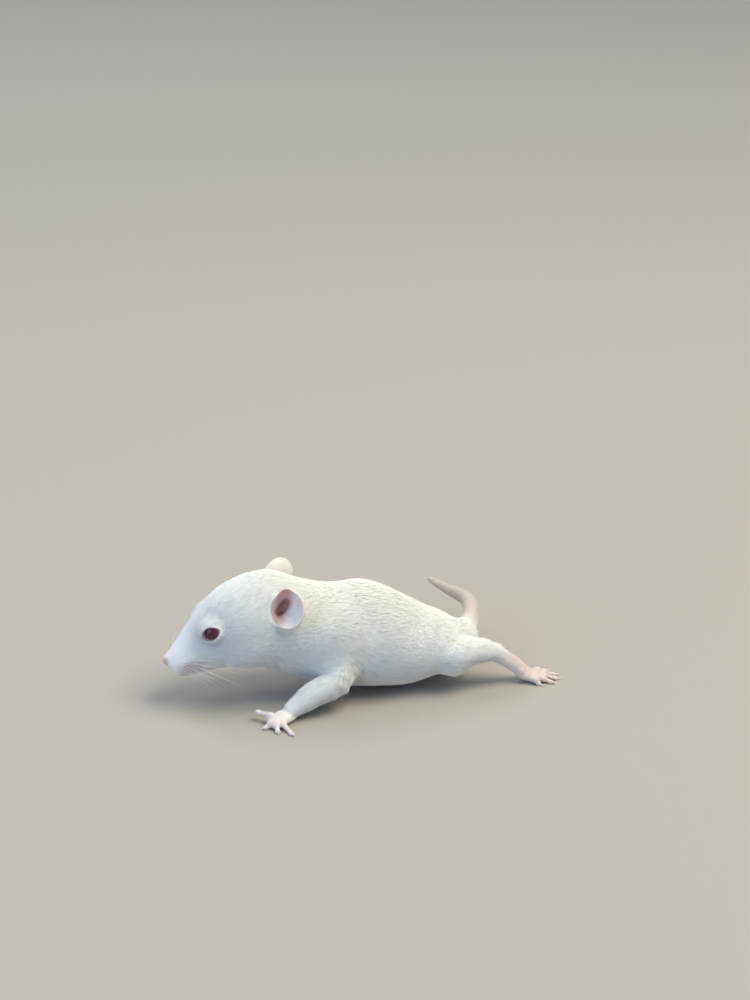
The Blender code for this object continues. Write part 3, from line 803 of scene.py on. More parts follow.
# %% Seeds into one mesh
VOXEL = 0.34  # millimetres between the points of the first mesh


def coordinates(mesh):
    found = np.empty(len(mesh.vertices) * 3, dtype=np.float32)
    mesh.vertices.foreach_get("co", found)
    return found.reshape(-1, 3).astype(float)


def move_points(mesh, points):
    mesh.vertices.foreach_set("co", np.asarray(points, np.float32).ravel())


def keep_on_points(mesh, name, values):
    """One number for each point of a mesh, kept on it for a material or a node tree to read."""
    mesh.attributes.new(name, "FLOAT", "POINT").data.foreach_set("value", np.asarray(values, np.float32))


def smooth_faces(mesh):
    mesh.polygons.foreach_set("use_smooth", np.ones(len(mesh.polygons), dtype=bool))


def mesh_of(name, points, faces):
    mesh = bpy.data.meshes.new(name)
    mesh.from_pydata(np.asarray(points).tolist(), [], np.asarray(faces).tolist())
    return mesh


def object_of(mesh):
    made = bpy.data.objects.new(mesh.name, mesh)
    bpy.context.scene.collection.objects.link(made)
    return made


def applied(holder):
    """The object with its modifiers turned into plain mesh."""
    bpy.context.view_layer.update()
    result = bpy.data.meshes.new_from_object(holder.evaluated_get(bpy.context.evaluated_depsgraph_get()))
    holder.modifiers.clear()
    holder.data = result
    return holder


def seed_mesh():
    """A small ball at every seed, big enough together to touch their neighbours all over the body."""
    ball = bmesh.new()
    bmesh.ops.create_icosphere(ball, subdivisions=2, radius=1.0)
    ball.verts.ensure_lookup_table()
    corners = np.array([v.co for v in ball.verts])
    faces = np.array([[v.index for v in f.verts] for f in ball.faces])
    ball.free()
    seeds = [seed for part in (*BODY, *EARS) for seed in part.seeds]
    seeds += [(from_head(EYE_PLACE, side), np.full(3, EYE_RADIUS), np.eye(3)) for side in SIDES.values()]
    points = np.concatenate([centre + (corners * radii) @ axes for centre, radii, axes in seeds])
    triangles = np.concatenate([faces + k * len(corners) for k in range(len(seeds))])
    print("seed balls:", len(seeds))
    return mesh_of("skin", points, triangles)


skin = object_of(seed_mesh())
remesh = skin.modifiers.new("Remesh", "REMESH")
remesh.mode, remesh.voxel_size = "VOXEL", VOXEL
applied(skin)
print("first mesh:", len(skin.data.polygons), "faces")

# %% Sliding onto the skin
PROBE = 0.02  # millimetres between the two places that a slope is measured from


def evened(points, edges):
    """Each point moved halfway to the middle of its neighbours."""
    total, count = np.zeros_like(points), np.zeros(len(points))
    for a, b in ((0, 1), (1, 0)):
        for k in range(3):
            total[:, k] += np.bincount(edges[:, a], points[edges[:, b], k], len(points))
        count += np.bincount(edges[:, a], minlength=len(points))
    return 0.5 * points + 0.5 * total / np.maximum(count, 1)[:, None]


def slope_of(distance, points, here):
    """How fast the distance grows along x, y and z at each point."""
    return np.stack([(distance(points + PROBE * axis) - here) / PROBE for axis in np.eye(3)], axis=1)


def slid(points, distance, steps, longest=0.6):
    """Points moved down the slope of a distance, at most longest millimetres in one step."""
    for _ in range(steps):
        here = distance(points)
        slope = slope_of(distance, points, here)
        step = here / np.maximum((slope**2).sum(axis=1), 0.2)
        points = points - np.clip(step, -longest, longest)[:, None] * slope
    return points


def edges_of(mesh):
    found = np.empty(len(mesh.edges) * 2, dtype=np.int32)
    mesh.edges.foreach_get("vertices", found)
    return found.reshape(-1, 2)


def rough(points):
    return skin_distance(points, detailed=False)


points, edges = coordinates(skin.data), edges_of(skin.data)
for _ in range(3):
    points = slid(evened(points, edges), rough, steps=1)
points = slid(points, rough, steps=1)
move_points(skin.data, points)
print("farthest point from the skin:", round(float(np.abs(rough(points)).max()), 3), "mm", clock())


# %% Finer where the small forms are
def fineness(points):
    """How many times the edges are halved: twice round the eyes and the nose, once on face, ears and feet."""
    levels = np.zeros(len(points), int)
    shares = belonging(points)
    levels[shares[:, PARTS.index("feet")] > 0.35] = 1
    for side in SIDES.values():
        levels[np.linalg.norm(points - ear_frame(side)[0], axis=1) < 4.6] = 1
        levels[from_eye(points, side) < 4.2] = 1
        levels[from_eye(points, side) < 2.55] = 2
    levels[np.linalg.norm(points - from_head((14.0, 0, -2.0)), axis=1) < 5.2] = 1
    levels[np.linalg.norm(points - from_head((16.2, 0, -1.6)), axis=1) < 2.5] = 2
    return levels


def refine(holder, chosen):
    """Halve the edges whose two ends are both chosen."""
    work = bmesh.new()
    work.from_mesh(holder.data)
    work.verts.ensure_lookup_table()
    picked = [edge for edge in work.edges if chosen[edge.verts[0].index] and chosen[edge.verts[1].index]]
    bmesh.ops.subdivide_edges(work, edges=picked, cuts=1, use_grid_fill=True)
    bmesh.ops.triangulate(work, faces=[face for face in work.faces if len(face.verts) > 4])
    work.to_mesh(holder.data)
    work.free()


for level in (1, 2):
    refine(skin, fineness(coordinates(skin.data)) >= level)
    points, edges = coordinates(skin.data), edges_of(skin.data)
    moving = fineness(points) >= level
    for _ in range(4):
        eased = evened(points, edges)
        points[moving] = slid(eased[moving], skin_distance, steps=1, longest=0.3)
    move_points(skin.data, points)
points = slid(points, skin_distance, steps=2, longest=0.12)
move_points(skin.data, points)
print("farthest point from the skin:", round(float(np.abs(skin_distance(points)).max()), 3), "mm")
work = bmesh.new()
work.from_mesh(skin.data)
bmesh.ops.triangulate(work, faces=work.faces)
bmesh.ops.recalc_face_normals(work, faces=work.faces)
work.to_mesh(skin.data)
work.free()
print("skin triangles:", len(skin.data.polygons), clock())

# %% [markdown]
# ## Marks on the skin
# One skin has many surfaces: white under the coat, pink and bare on nose, lips, ears, palms and tail,
# and painted dark in the nostrils and ear canals as the shade deep inside them, and painted dusky at the
# edges of the lids as the shade where they turn in. Each of these is worked out for every point of the mesh
# and kept on it as an attribute, so that the material can mix its colours without any picture.

# %% Marks of the ears
def inner_ear(points):
    """1 in the bowl of an ear, 0 on its back and on the head."""
    found = np.zeros(len(points))
    for side in SIDES.values():
        local = ear_local(points, side)
        bowl = ellipsoid_distance(local, 0.0, EAR_RADII) - EAR_OUT
        canal = canal_distance(points, side) - 0.3
        near = np.linalg.norm(local / (EAR_RADII + 0.9), axis=1) < 1.15
        found = np.maximum(found, np.where(near, 1 - ramp(np.minimum(bowl, canal), -0.02, 0.12), 0))
    return found


def ear_front(points):
    """1 on the side of an ear that is next to the face, 0 on its back half."""
    found = np.zeros(len(points))
    for side in SIDES.values():
        local = ear_local(points, side)
        near = np.linalg.norm(local, axis=1) < 5
        found = np.maximum(found, np.where(near, ramp(local[:, 0], -0.6, 1.2), 0))
    return found


def canal_depth(points):
    """1 in the ear canals, and less and less for a millimetre round them."""
    found = np.zeros(len(points))
    for side in SIDES.values():
        found = np.maximum(found, 1 - ramp(canal_distance(points, side), -0.1, 1.0))
    return found


# %% Marks of eyes, mouth and nose
FAR = 9.0  # stands for any distance that is too long to matter


def eye_rim(points):
    """Distance from the rim of the opening between the lids, and FAR away from the eyes."""
    found = np.full(len(points), FAR)
    for side in SIDES.values():
        near = from_eye(points, side) < 3.0
        found = np.minimum(found, np.where(near, opening_distance(points, side), FAR))
    return found


def lip_distance(points):
    """Distance from the line between the lips, and FAR away from the mouth."""
    along, sideways, up = head_coordinates(points).T
    away = np.abs(up - smooth_between(along, *np.array(LIP_LINE).T))
    near = (along > 10.0) & (along < 18) & (sideways < 4)
    return np.where(near, away + 2 * np.maximum(10.8 - along, 0), FAR)


def nose_pad(points):
    """1 on the bare leather of the nose."""
    along, sideways, up = head_coordinates(points).T
    band = ramp(along, 15.9, 16.7) * ramp(up, -1.9, -1.3) * (1 - ramp(up, 0.2, 0.9))
    return band * (1 - ramp(sideways, 1.0, 1.7))


def whisker_bed(points):
    """1 in the middle of the pads that the whiskers grow from."""
    along, sideways, up = head_coordinates(points).T
    away = np.hypot((along - 13.3) / 2.6, (up + 1.9) / 1.7)
    return (1 - ramp(away, 0.35, 1.15)) * ramp(sideways, 0.8, 1.8)


# %% All the marks together
def sole_side(points, normals, shares):
    """1 on the bare undersides of hands and feet."""
    faces = np.array([SOLE_FACES.get(name, -1) for name in PAWS])[from_palms(points)[1]]
    return ramp(normals[:, 2] * faces, 0.05, 0.5) * ramp(shares[:, 4], 0.4, 0.8)


def marks(points, normals):
    """Every mark by its name. rings is the way along the tail in millimetres, the others go from 0 to 1."""
    shares = belonging(points)
    _, head, _, tail, feet, ears = shares.T
    along, rings = head_coordinates(points)[:, 0], tail_station(points)
    is_head = head > 0.5
    bare = np.clip(0.85 * feet + 0.95 * tail * ramp(rings, 0.5, 5.0) + 0.65 * ears, 0, 1)
    bare = np.maximum.reduce([
        bare,
        sole_side(points, normals, shares),
        inner_ear(points) * (0.45 + 0.55 * ear_front(points)),
        nose_pad(points) * is_head,
        0.8 * (1 - ramp(eye_rim(points), 0.0, 0.2)),
        0.75 * (1 - ramp(lip_distance(points), 0.1, 0.45)) * is_head,
        0.45 * ramp(along, 13.0, 16.0) * is_head,
        0.5 * whisker_bed(points) * is_head,
    ])
    blush = np.maximum.reduce([
        0.5 * nose_pad(points) * is_head,
        0.7 * (1 - ramp(lip_distance(points), 0.05, 0.4)) * is_head * ramp(along, 11, 15),
        canal_depth(points),
        0.6 * inner_ear(points) * ear_front(points),
        0.15 * sole_side(points, normals, shares),
    ])
    # painted shade at the edges of the lids, where they turn in round the eye; the dusky whisker pads are
    # their own colour
    dusk = np.maximum(1 - ramp(eye_rim(points), -0.02, 0.16), 0.7 * whisker_bed(points) * is_head)
    # painted shade: the ear canals darken deeper in, and the nostrils are painted dark
    deep = 0.65 * canal_depth(points) ** 2
    for side in SIDES.values():
        away = np.linalg.norm((points - from_head(NOSTRIL_PLACE, side)) / (0.5, 0.36, 0.3), axis=1)
        deep = np.maximum(deep, 1 - ramp(away, 0.5, 1.1))
    return {"bare": bare, "blush": blush, "dusk": dusk, "deep": deep, "rings": rings, "tail": tail}


def normals_of(mesh):
    found = np.empty(len(mesh.vertices) * 3, dtype=np.float32)
    mesh.vertex_normals.foreach_get("vector", found)
    return found.reshape(-1, 3).astype(float)


skin_points = coordinates(skin.data)
skin_normals = normals_of(skin.data)
for name, values in marks(skin_points, skin_normals).items():
    keep_on_points(skin.data, name, values)
    print("mark", name, "from", round(float(values.min()), 2), "to", round(float(values.max()), 2))

# %% [markdown]
# ## The lie of the coat
# Hair grows in streams. On the face it runs back from the nose, on the trunk back and a little down over
# the shoulders, on the legs down to the toes. Each root takes the direction of the parts it belongs to,
# laid flat on the skin, turned a little by slow ripples so that no two places are combed quite alike.

# %% Streams of hair
def heading_along(points, routes, softness=0.8):
    """The direction of the nearest stretches of any of the routes, blended so that no bend is sharp."""
    aways, spans = [], []
    for route in routes:
        for a, b in zip(route[:-1], route[1:]):
            span = b - a
            t = np.clip((points - a) @ span / (span @ span), 0, 1)
            aways.append(np.linalg.norm(points - a - t[:, None] * span, axis=1))
            spans.append(unit(span))
    aways = np.array(aways)
    return unit(np.exp((aways.min(axis=0) - aways) / softness).T @ np.array(spans))


LEG_ROUTES = [smooth_route(points, radii)[0] for points, radii, _ in LEGS.values()]
FOOT_ROUTES = [smooth_route(points, radii)[0] for points, radii in SOLES.values()]
FOOT_ROUTES += [np.array(digit_route(paw, k)) for paw in PAWS.values() for k in range(len(paw.tips))]


def ripple(points, size, seed):
    """A slow smooth noise between about -1 and 1, whose waves are about size millimetres long."""
    waves = np.random.default_rng(seed)
    total = np.zeros(len(points))
    for _ in range(8):
        way = unit(waves.normal(size=3)) * math.tau / size * waves.uniform(0.6, 1.5)
        total += np.sin(points @ way + waves.uniform(0, math.tau))
    return total / 3.0


def stream(points, normals, shares):
    """The way the hair lies at each point, flat on the skin."""
    up = head_coordinates(points)[:, 2]
    face = -HEAD_ALONG - np.outer(0.30 * ramp(-up, -1.0, 4.0), HEAD_UP)
    shoulder = 1 - ramp(points[:, 0], -4.0, 9.0)
    flank = np.abs(normals[:, 1])
    end = ramp(normals[:, 0], 0.25, 0.9) * ramp(points[:, 0], 12.0, 18.0)
    fall = -flank * (0.16 + 0.42 * shoulder) - 1.2 * end
    trunk = np.stack([1 - 0.8 * end, np.zeros(len(points)), fall], axis=1)
    side = np.where(points[:, 1] < 0, -1, 1)
    ears = np.stack([np.full(len(points), 0.45), 0.25 * side, np.full(len(points), 0.85)], axis=1)
    ways = [trunk, face, heading_along(points, LEG_ROUTES), heading_along(points, [TAIL_ROUTE]),
            heading_along(points, FOOT_ROUTES), ears]
    way = sum(shares[:, [k]] * unit(ways[k]) for k in range(len(PARTS)))
    across = np.cross(normals, way)
    way = way + across * (0.10 * ripple(points, 8.0, 11) + 0.04 * ripple(points, 2.4, 12))[:, None]
    return unit(way - (way * normals).sum(axis=1, keepdims=True) * normals)


# %% Length, density and width of hairs
MOST_TUFTS = 150  # on a square millimetre
FOOT_LENGTH, EAR_LENGTH = 0.38, 0.36
HEAD_LENGTHS = (  # along the head, length of a hair
    (-7, 2.1),
    (0, 1.7),
    (5, 1.15),
    (10, 0.8),
    (13.5, 0.5),
    (15.5, 0.32),
    (16.5, 0.25),
)


def hair_lengths(points, shares):
    """How long a hair is at each point, shorter under the throat and in front of the ears."""
    head = smooth_between(head_coordinates(points)[:, 0], *np.array(HEAD_LENGTHS).T)
    legs = 0.6 + 1.1 * ramp(from_palms(points)[0], 2.5, 8.0)
    tail = 0.35 + 1.0 * (1 - ramp(tail_station(points), 0.0, 3.8))
    trunk = 2.3 - 0.8 * ramp(points[:, 0], 15.0, 20.0)
    lengths = blended(shares, (trunk, head, legs, tail, FOOT_LENGTH, EAR_LENGTH))
    throat = (1 - ramp(points[:, 2], 5.0, 7.5)) * (1 - ramp(points[:, 0], -11.0, -8.0))
    throat *= shares[:, 0] + shares[:, 1]
    lengths *= 1 - 0.5 * throat * ramp(points[:, 0], -19.0, -16.0)
    for side in SIDES.values():
        local = ear_local(points, side)
        near = 1 - ramp(np.linalg.norm(local, axis=1), 3.0, 5.0)
        lengths *= 1 - 0.65 * ramp(local[:, 0], -0.5, 1.0) * near
    return lengths


def hair_widths(lengths):
    """Half the width of a tuft, by its length."""
    return np.clip(0.017 + 0.012 * lengths, 0.019, 0.041)


def hair_density(points, normals, shares, lengths):
    """Roots on a square millimetre: many where hairs are short, few or none on bare skin."""
    _, head, _, tail, feet, ears = shares.T
    is_head = head > 0.5
    cover = np.clip(2.6 + 3.6 * lengths, 2.6, 10.5)  # how many layers deep the hairs lie
    density = np.minimum(cover / (2 * hair_widths(lengths) * lengths), MOST_TUFTS)
    density *= 1 - inner_ear(points) * (0.75 + 0.25 * ear_front(points))
    density *= 1 - 0.45 * whisker_bed(points) * is_head
    density *= 1 - sole_side(points, normals, shares)
    density *= 1 - 0.45 * feet - 0.5 * ears
    density *= 1 - 0.9 * tail * ramp(tail_station(points), 1.0, 4.5)
    density *= np.where(is_head, 1 - nose_pad(points), 1)
    density *= np.where(is_head, 0.25 + 0.75 * ramp(lip_distance(points), 0.1, 0.4), 1)
    density *= ramp(eye_rim(points), 0.04, 0.14)
    density *= ramp(points[:, 2], 0.05, 0.3)
    return density


# %% [markdown]
# ## Planting the coat
# Each tuft is a thin closed spike that starts in the skin, rises to the outline and lies along the stream.
# Roots are scattered over the triangles of the skin in proportion to their area and to how thickly that
# place is furred. Neighbouring tufts lean towards a shared tip, because real fur gathers in small locks.
# The spikes are joined straight from arrays: two hundred thousand separate objects would choke the scene.

# %% Scattering roots
GROW = np.random.default_rng(2024)


def triangles_of(mesh):
    mesh.calc_loop_triangles()
    found = np.empty(len(mesh.loop_triangles) * 3, dtype=np.int32)
    mesh.loop_triangles.foreach_get("vertices", found)
    return found.reshape(-1, 3)


def scattered(points, normals, triangles, density_of):
    """Roots spread evenly by density: their places and the skin's normals there."""
    corners = points[triangles]
    middles, tilts = corners.mean(axis=1), unit(normals[triangles].sum(axis=1))
    areas = np.linalg.norm(np.cross(corners[:, 1] - corners[:, 0], corners[:, 2] - corners[:, 0]), axis=1) / 2
    heap = np.cumsum(areas * density_of(middles, tilts))
    count = int(heap[-1])
    picks = np.searchsorted(heap, (np.arange(count) + GROW.uniform(size=count)) * heap[-1] / count)
    picks = np.minimum(picks, len(triangles) - 1)
    a, b = GROW.uniform(size=(2, count))
    folded = a + b > 1
    a[folded], b[folded] = 1 - a[folded], 1 - b[folded]
    shares = np.stack([1 - a - b, a, b], axis=1)[:, :, None]
    return (corners[picks] * shares).sum(axis=1), unit((normals[triangles[picks]] * shares).sum(axis=1))


def density_here(points, normals):
    shares = belonging(points)
    return hair_density(points, normals, shares, hair_lengths(points, shares))


roots, root_normals = scattered(skin_points, skin_normals, triangles_of(skin.data), density_here)
root_shares = belonging(roots)
hair_length = hair_lengths(roots, root_shares)
print("tufts:", len(roots), clock())

# %% Shaping the tufts
# the ruff is the stretch of the back where some tufts stand up a little from the rest
ruff = ramp(roots[:, 0], -3, 1) * (1 - ramp(roots[:, 0], 7, 12)) * ramp(root_normals[:, 2], 0.3, 0.9)
ruff *= root_shares[:, 0]
ways = stream(roots, root_normals, root_shares)
spread = GROW.normal(size=(3, len(roots)))
hair_length *= np.clip(1 + 0.16 * spread[0], 0.6, 1.45)
heights = coat_depth(roots, root_shares) * np.clip(0.90 + 0.07 * spread[1], 0.6, 1.1) + 0.02
heights += ruff * np.where(GROW.uniform(size=len(roots)) < 0.3, 0.45, 0.08)
heights = np.minimum(heights, 0.55 * hair_length)
sides_way = np.cross(root_normals, ways)
ways = unit(ways + 0.05 * spread[2][:, None] * sides_way)


def arc(way, normal, length, height):
    """Middle and tip of a hair that rises first and then lies down."""
    climb = np.clip(np.stack([1.55 * height / length, 0.45 * height / length]), 0, 0.95)[:, :, None]
    flat = np.sqrt(1 - climb**2)
    half = length[:, None] / 2
    middle = half * (way * flat[0] + normal * climb[0])
    return middle, middle + half * (way * flat[1] + normal * climb[1])


middles, tips = arc(ways, root_normals, hair_length, heights)

# %% Gathering into locks
LOCK = 7  # tufts that share a tip, on average
centres = np.arange(0, len(roots), LOCK)
GROW.shuffle(centres)
tree = kdtree.KDTree(len(centres))
for k, centre in enumerate(centres):
    tree.insert(roots[centre], k)
tree.balance()
lock = centres[np.array([tree.find(root)[1] for root in roots])]
pull = (roots[lock] + tips[lock]) - (roots + tips)
pull -= (pull * root_normals).sum(axis=1, keepdims=True) * root_normals
reach = np.linalg.norm(pull, axis=1)
strength = np.where((reach < 0.9 * hair_length) & (hair_length > 0.45), 0.10, 0.0)[:, None]
tips = tips + strength * pull
middles = middles + 0.3 * strength * pull
in_bowl = inner_ear(roots) > 0.2
clear = (inner_ear(roots + tips) < 0.5) | in_bowl  # the rest would come through the thin walls of the ears
clear[in_bowl] = skin_distance((roots + tips)[in_bowl]) > -0.02
tones = GROW.uniform(size=len(centres))[np.searchsorted(np.sort(centres), lock)]  # one tone for each lock
to_eye = np.min([from_eye(roots, side) for side in SIDES.values()], axis=0)
tones = tones + 1.2 * (1 - ramp(to_eye, 1.9, 3.9))  # painted shade: the thin coat round the eyes is made a little greyer, as the shade round the eye sockets
print("locks:", len(centres))

# %% Unwrapping the body
# the line from end to end of each part of the coat, which its sheet is rolled round
AXES = {
    "head": (from_head((-8, 0, -1)), from_head((17, 0, -1.5))),
    "body": (np.array([-16.0, 0, 10.0]), np.array([24.0, 0, 6.0])),
    "foreleg_left": (np.array(LEGS["foreleg_left"][0][0]), np.array([-15.0, -11.5, 0.6])),
    "foreleg_right": (np.array(LEGS["foreleg_right"][0][0]), np.array([-5.0, 8.3, 0.6])),
    "hindleg_left": (np.array([12.0, -3.0, 8.0]), np.array([33.0, -5.0, 0.5])),
    "hindleg_right": (np.array([17.0, 7.0, 3.0]), np.array([6.0, 9.2, 0.6])),
    "tail": (TAIL_ROUTE[0], TAIL_ROUTE[-1]),
}
PATCH = 0.003  # size of one tuft's patch on the sheet
SHARPNESS = 0.42  # how much the round of a tuft shows in its shading, against the smooth shape of the body


def unwrapped(points, start, end):
    """A point's place on a sheet rolled round the line from start to end."""
    axis = unit(end - start)
    first = unit(np.cross(axis, (0.3, 0.2, 1.0)))
    local = points - start
    along = local @ axis / np.linalg.norm(end - start)
    turn = np.arctan2(local @ np.cross(axis, first), local @ first)
    return np.clip(np.stack([0.06 + 0.88 * along, 0.5 + turn / math.tau * 0.98], axis=1), 0.004, 0.996)


# %% Building tufts
def mesh_from_arrays(name, points, triangles):
    mesh = bpy.data.meshes.new(name)
    mesh.vertices.add(len(points))
    move_points(mesh, points)
    mesh.loops.add(3 * len(triangles))
    mesh.loops.foreach_set("vertex_index", np.asarray(triangles, np.int32).ravel())
    mesh.polygons.add(len(triangles))
    mesh.polygons.foreach_set("loop_start", np.arange(0, 3 * len(triangles), 3, dtype=np.int32))
    smooth_faces(mesh)
    mesh.update(calc_edges=True)
    return mesh


# %% Corners and faces of a tuft
BENT_FROM = 1.45  # tufts longer than this, in millimetres, have a bend in the middle
ROOT_DEPTH = 0.10  # how deep a tuft starts under the skin
LOWEST = 0.012  # no tuft comes nearer to the floor
# triangles between the corners of a tuft, and where those corners lie on its patch of the sheet
LONG_FACES = [(0, 2, 1)]
for i in range(3):
    j = (i + 1) % 3
    LONG_FACES += [(i, j, 3 + i), (j, 3 + j, 3 + i), (3 + i, 3 + j, 6)]
SHORT_FACES = [(0, 2, 1), (0, 1, 3), (1, 2, 3), (2, 0, 3)]
LONG_PATCH = [(-0.5, -0.5), (0.5, -0.5), (0.0, -0.35), (-0.35, 0.05), (0.35, 0.05), (0.0, 0.15), (0.0, 0.5)]
SHORT_PATCH = [(-0.5, -0.5), (0.5, -0.5), (0.0, -0.3), (0.0, 0.5)]


def spikes(chosen, place, long):
    """Corners, triangles, unwrap and facing of the chosen tufts, with a bend if they are long."""
    root, normal, way = roots[chosen], root_normals[chosen], ways[chosen]
    half = hair_widths(hair_length[chosen])[:, None]
    start = root - ROOT_DEPTH * normal
    side = unit(np.cross(normal, way))
    over = unit(np.cross(way, side))

    turns = (math.pi / 2, math.pi * 7 / 6, math.pi * 11 / 6)  # a ridge outwards and the flat side under it
    rim = [math.cos(t) * side + 0.5 * math.sin(t) * over for t in turns]
    if long:
        corners = [start + half * r for r in rim] + [root + middles[chosen] + 0.8 * half * r for r in rim]
        faces, patch, outwards = LONG_FACES, LONG_PATCH, [*rim, *rim, 0 * over]
    else:
        corners, outwards = [start + half * r for r in rim], [*rim, 0 * over]
        faces, patch = SHORT_FACES, SHORT_PATCH
    points = np.stack([*corners, root + tips[chosen]], axis=1)
    facing = unit(normal[:, None] + SHARPNESS * np.stack(outwards, axis=1)).reshape(-1, 3)
    points[:, :, 2] = np.maximum(points[:, :, 2], LOWEST)
    size = points.shape[1]
    triangles = (np.arange(len(chosen))[:, None, None] * size + np.array(faces)[None]).reshape(-1, 3)
    sheet = (unwrapped(root, *AXES[place])[:, None] + PATCH * np.array(patch)[None]).reshape(-1, 2)
    return to_model(points.reshape(-1, 3)), triangles, sheet, facing


# %% One piece of the coat
def tufts(name, chosen, place):
    """One piece of the coat. Near the limit it is chance whether a tuft is bent, so no line shows."""
    long = hair_length[chosen] > BENT_FROM * GROW.uniform(0.8, 1.2, len(chosen))
    bent_part, straight_part = spikes(chosen[long], place, True), spikes(chosen[~long], place, False)
    points = np.concatenate([bent_part[0], straight_part[0]])
    triangles = np.concatenate([bent_part[1], straight_part[1] + len(bent_part[0])])
    sheet, facing = (np.concatenate([bent_part[k], straight_part[k]]) for k in (2, 3))
    mesh = mesh_from_arrays(name, points, triangles)
    mesh.normals_split_custom_set_from_vertices(facing.tolist())
    corners = np.where(long, len(LONG_PATCH), len(SHORT_PATCH))
    order = np.concatenate([np.flatnonzero(long), np.flatnonzero(~long)])
    keep_on_points(mesh, "tone", np.repeat(tones[chosen][order], corners[order]))
    unwrap = mesh.uv_layers.new(name="OFBake")
    unwrap.data.foreach_set("uv", sheet[triangles.ravel()].astype(np.float32).ravel())
    return object_of(mesh)


# %% Sharing the tufts out
ENDLESS = 99.0  # past any end of the animal
# where each zone of the head starts and ends, counted towards the nose
HEAD_ZONES = {
    "muzzle": (12.4, ENDLESS),
    "nose": (8.4, 12.4),
    "face": (4.8, 8.4),
    "cheek": (0.5, 4.8),
    "crown": (-ENDLESS, 0.5),
}
# the same for the trunk, counted towards the tail
TRUNK_ZONES = {
    "shoulder": (-ENDLESS, -4.5),
    "chest": (-4.5, 1.5),
    "flank": (1.5, 7.0),
    "loin": (7.0, 13.0),
    "rump": (13.0, ENDLESS),
}
FORELEGS_UNTIL = 4.0
main = root_shares.argmax(axis=1)
is_trunk, is_head, is_leg, is_tail, is_foot, is_ear = (main == k for k in range(len(PARTS)))
back, forward = roots[:, 0], head_coordinates(roots)[:, 0]
fore = back < FORELEGS_UNTIL
zones = {}
for side_name, side in SIDES.items():
    on_side = (roots[:, 1] < 0) == (side < 0)
    limb = (is_leg | is_foot) & on_side
    zones[f"coat_foreleg_{side_name}"] = (limb & fore, f"foreleg_{side_name}")
    zones[f"coat_hindleg_{side_name}"] = (limb & ~fore, f"hindleg_{side_name}")
    zones[f"coat_ear_{side_name}"] = (is_ear & on_side, "head")
    for part, (low, high) in HEAD_ZONES.items():
        zones[f"coat_{part}_{side_name}"] = (is_head & on_side & (forward >= low) & (forward < high), "head")
    for part, (low, high) in TRUNK_ZONES.items():
        zones[f"coat_{part}_{side_name}"] = (is_trunk & on_side & (back >= low) & (back < high), "body")
zones["coat_tail"] = (is_tail, "tail")

coat = []
for name, (mask, place) in zones.items():
    chosen = np.flatnonzero(mask & clear)
    if len(chosen):
        coat.append(tufts(name, chosen, place))
        print(name, len(chosen), "tufts,", len(coat[-1].data.polygons), "triangles")
print("coat triangles:", sum(len(piece.data.polygons) for piece in coat), clock())

# %% [markdown]
# ## Whiskers, claws and bristles
# These are all tapered threads that follow a path: stiff whiskers that sweep back from the muzzle, small
# curved claws, and the short bristles that lie along the tail. One node tree can spin them all. It takes
# lines of points, gives each point a thickness from how far it is along its line, and skins the line with a
# round section.

# %% A tree that spins tapered threads
def link(tree, out_socket, in_socket):
    tree.links.new(out_socket, in_socket)


def thread_tree():
    tree = bpy.data.node_groups.new("tapered_threads", "GeometryNodeTree")
    for name, kind, way in (
        ("Lines", "NodeSocketGeometry", "INPUT"),
        ("Root radius", "NodeSocketFloat", "INPUT"),
        ("Tip share", "NodeSocketFloat", "INPUT"),
        ("Fullness", "NodeSocketFloat", "INPUT"),
        ("Sides", "NodeSocketInt", "INPUT"),
        ("Finish", "NodeSocketMaterial", "INPUT"),
        ("Threads", "NodeSocketGeometry", "OUTPUT"),
    ):
        tree.interface.new_socket(name, in_out=way, socket_type=kind)
    add = tree.nodes.new
    start, end = add("NodeGroupInput"), add("NodeGroupOutput")
    reach = add("GeometryNodeInputNamedAttribute")
    reach.data_type = "FLOAT"
    reach.inputs["Name"].default_value = "reach"
    power = add("ShaderNodeMath")
    power.operation = "POWER"
    taper = add("ShaderNodeMapRange")
    taper.inputs["To Min"].default_value = 1.0
    size = add("ShaderNodeMath")
    size.operation = "MULTIPLY"
    curve = add("GeometryNodeMeshToCurve")
    section = add("GeometryNodeCurvePrimitiveCircle")
    section.inputs["Radius"].default_value = 1.0
    skinned = add("GeometryNodeCurveToMesh")
    skinned.inputs["Fill Caps"].default_value = True
    whole = add("GeometryNodeRealizeInstances")
    paint = add("GeometryNodeSetMaterial")
    link(tree, reach.outputs["Attribute"], power.inputs[0])
    link(tree, start.outputs["Fullness"], power.inputs[1])
    link(tree, power.outputs[0], taper.inputs["Value"])
    link(tree, start.outputs["Tip share"], taper.inputs["To Max"])
    link(tree, taper.outputs[0], size.inputs[0])
    link(tree, start.outputs["Root radius"], size.inputs[1])
    link(tree, start.outputs["Lines"], curve.inputs["Mesh"])
    link(tree, curve.outputs["Curve"], skinned.inputs["Curve"])
    link(tree, size.outputs[0], skinned.inputs["Scale"])
    link(tree, start.outputs["Sides"], section.inputs["Resolution"])
    link(tree, section.outputs["Curve"], skinned.inputs["Profile Curve"])
    link(tree, skinned.outputs["Mesh"], whole.inputs["Geometry"])
    link(tree, whole.outputs["Geometry"], paint.inputs["Geometry"])
    link(tree, start.outputs["Finish"], paint.inputs["Material"])
    link(tree, paint.outputs["Geometry"], end.inputs["Threads"])
    return tree


THREADS = thread_tree()


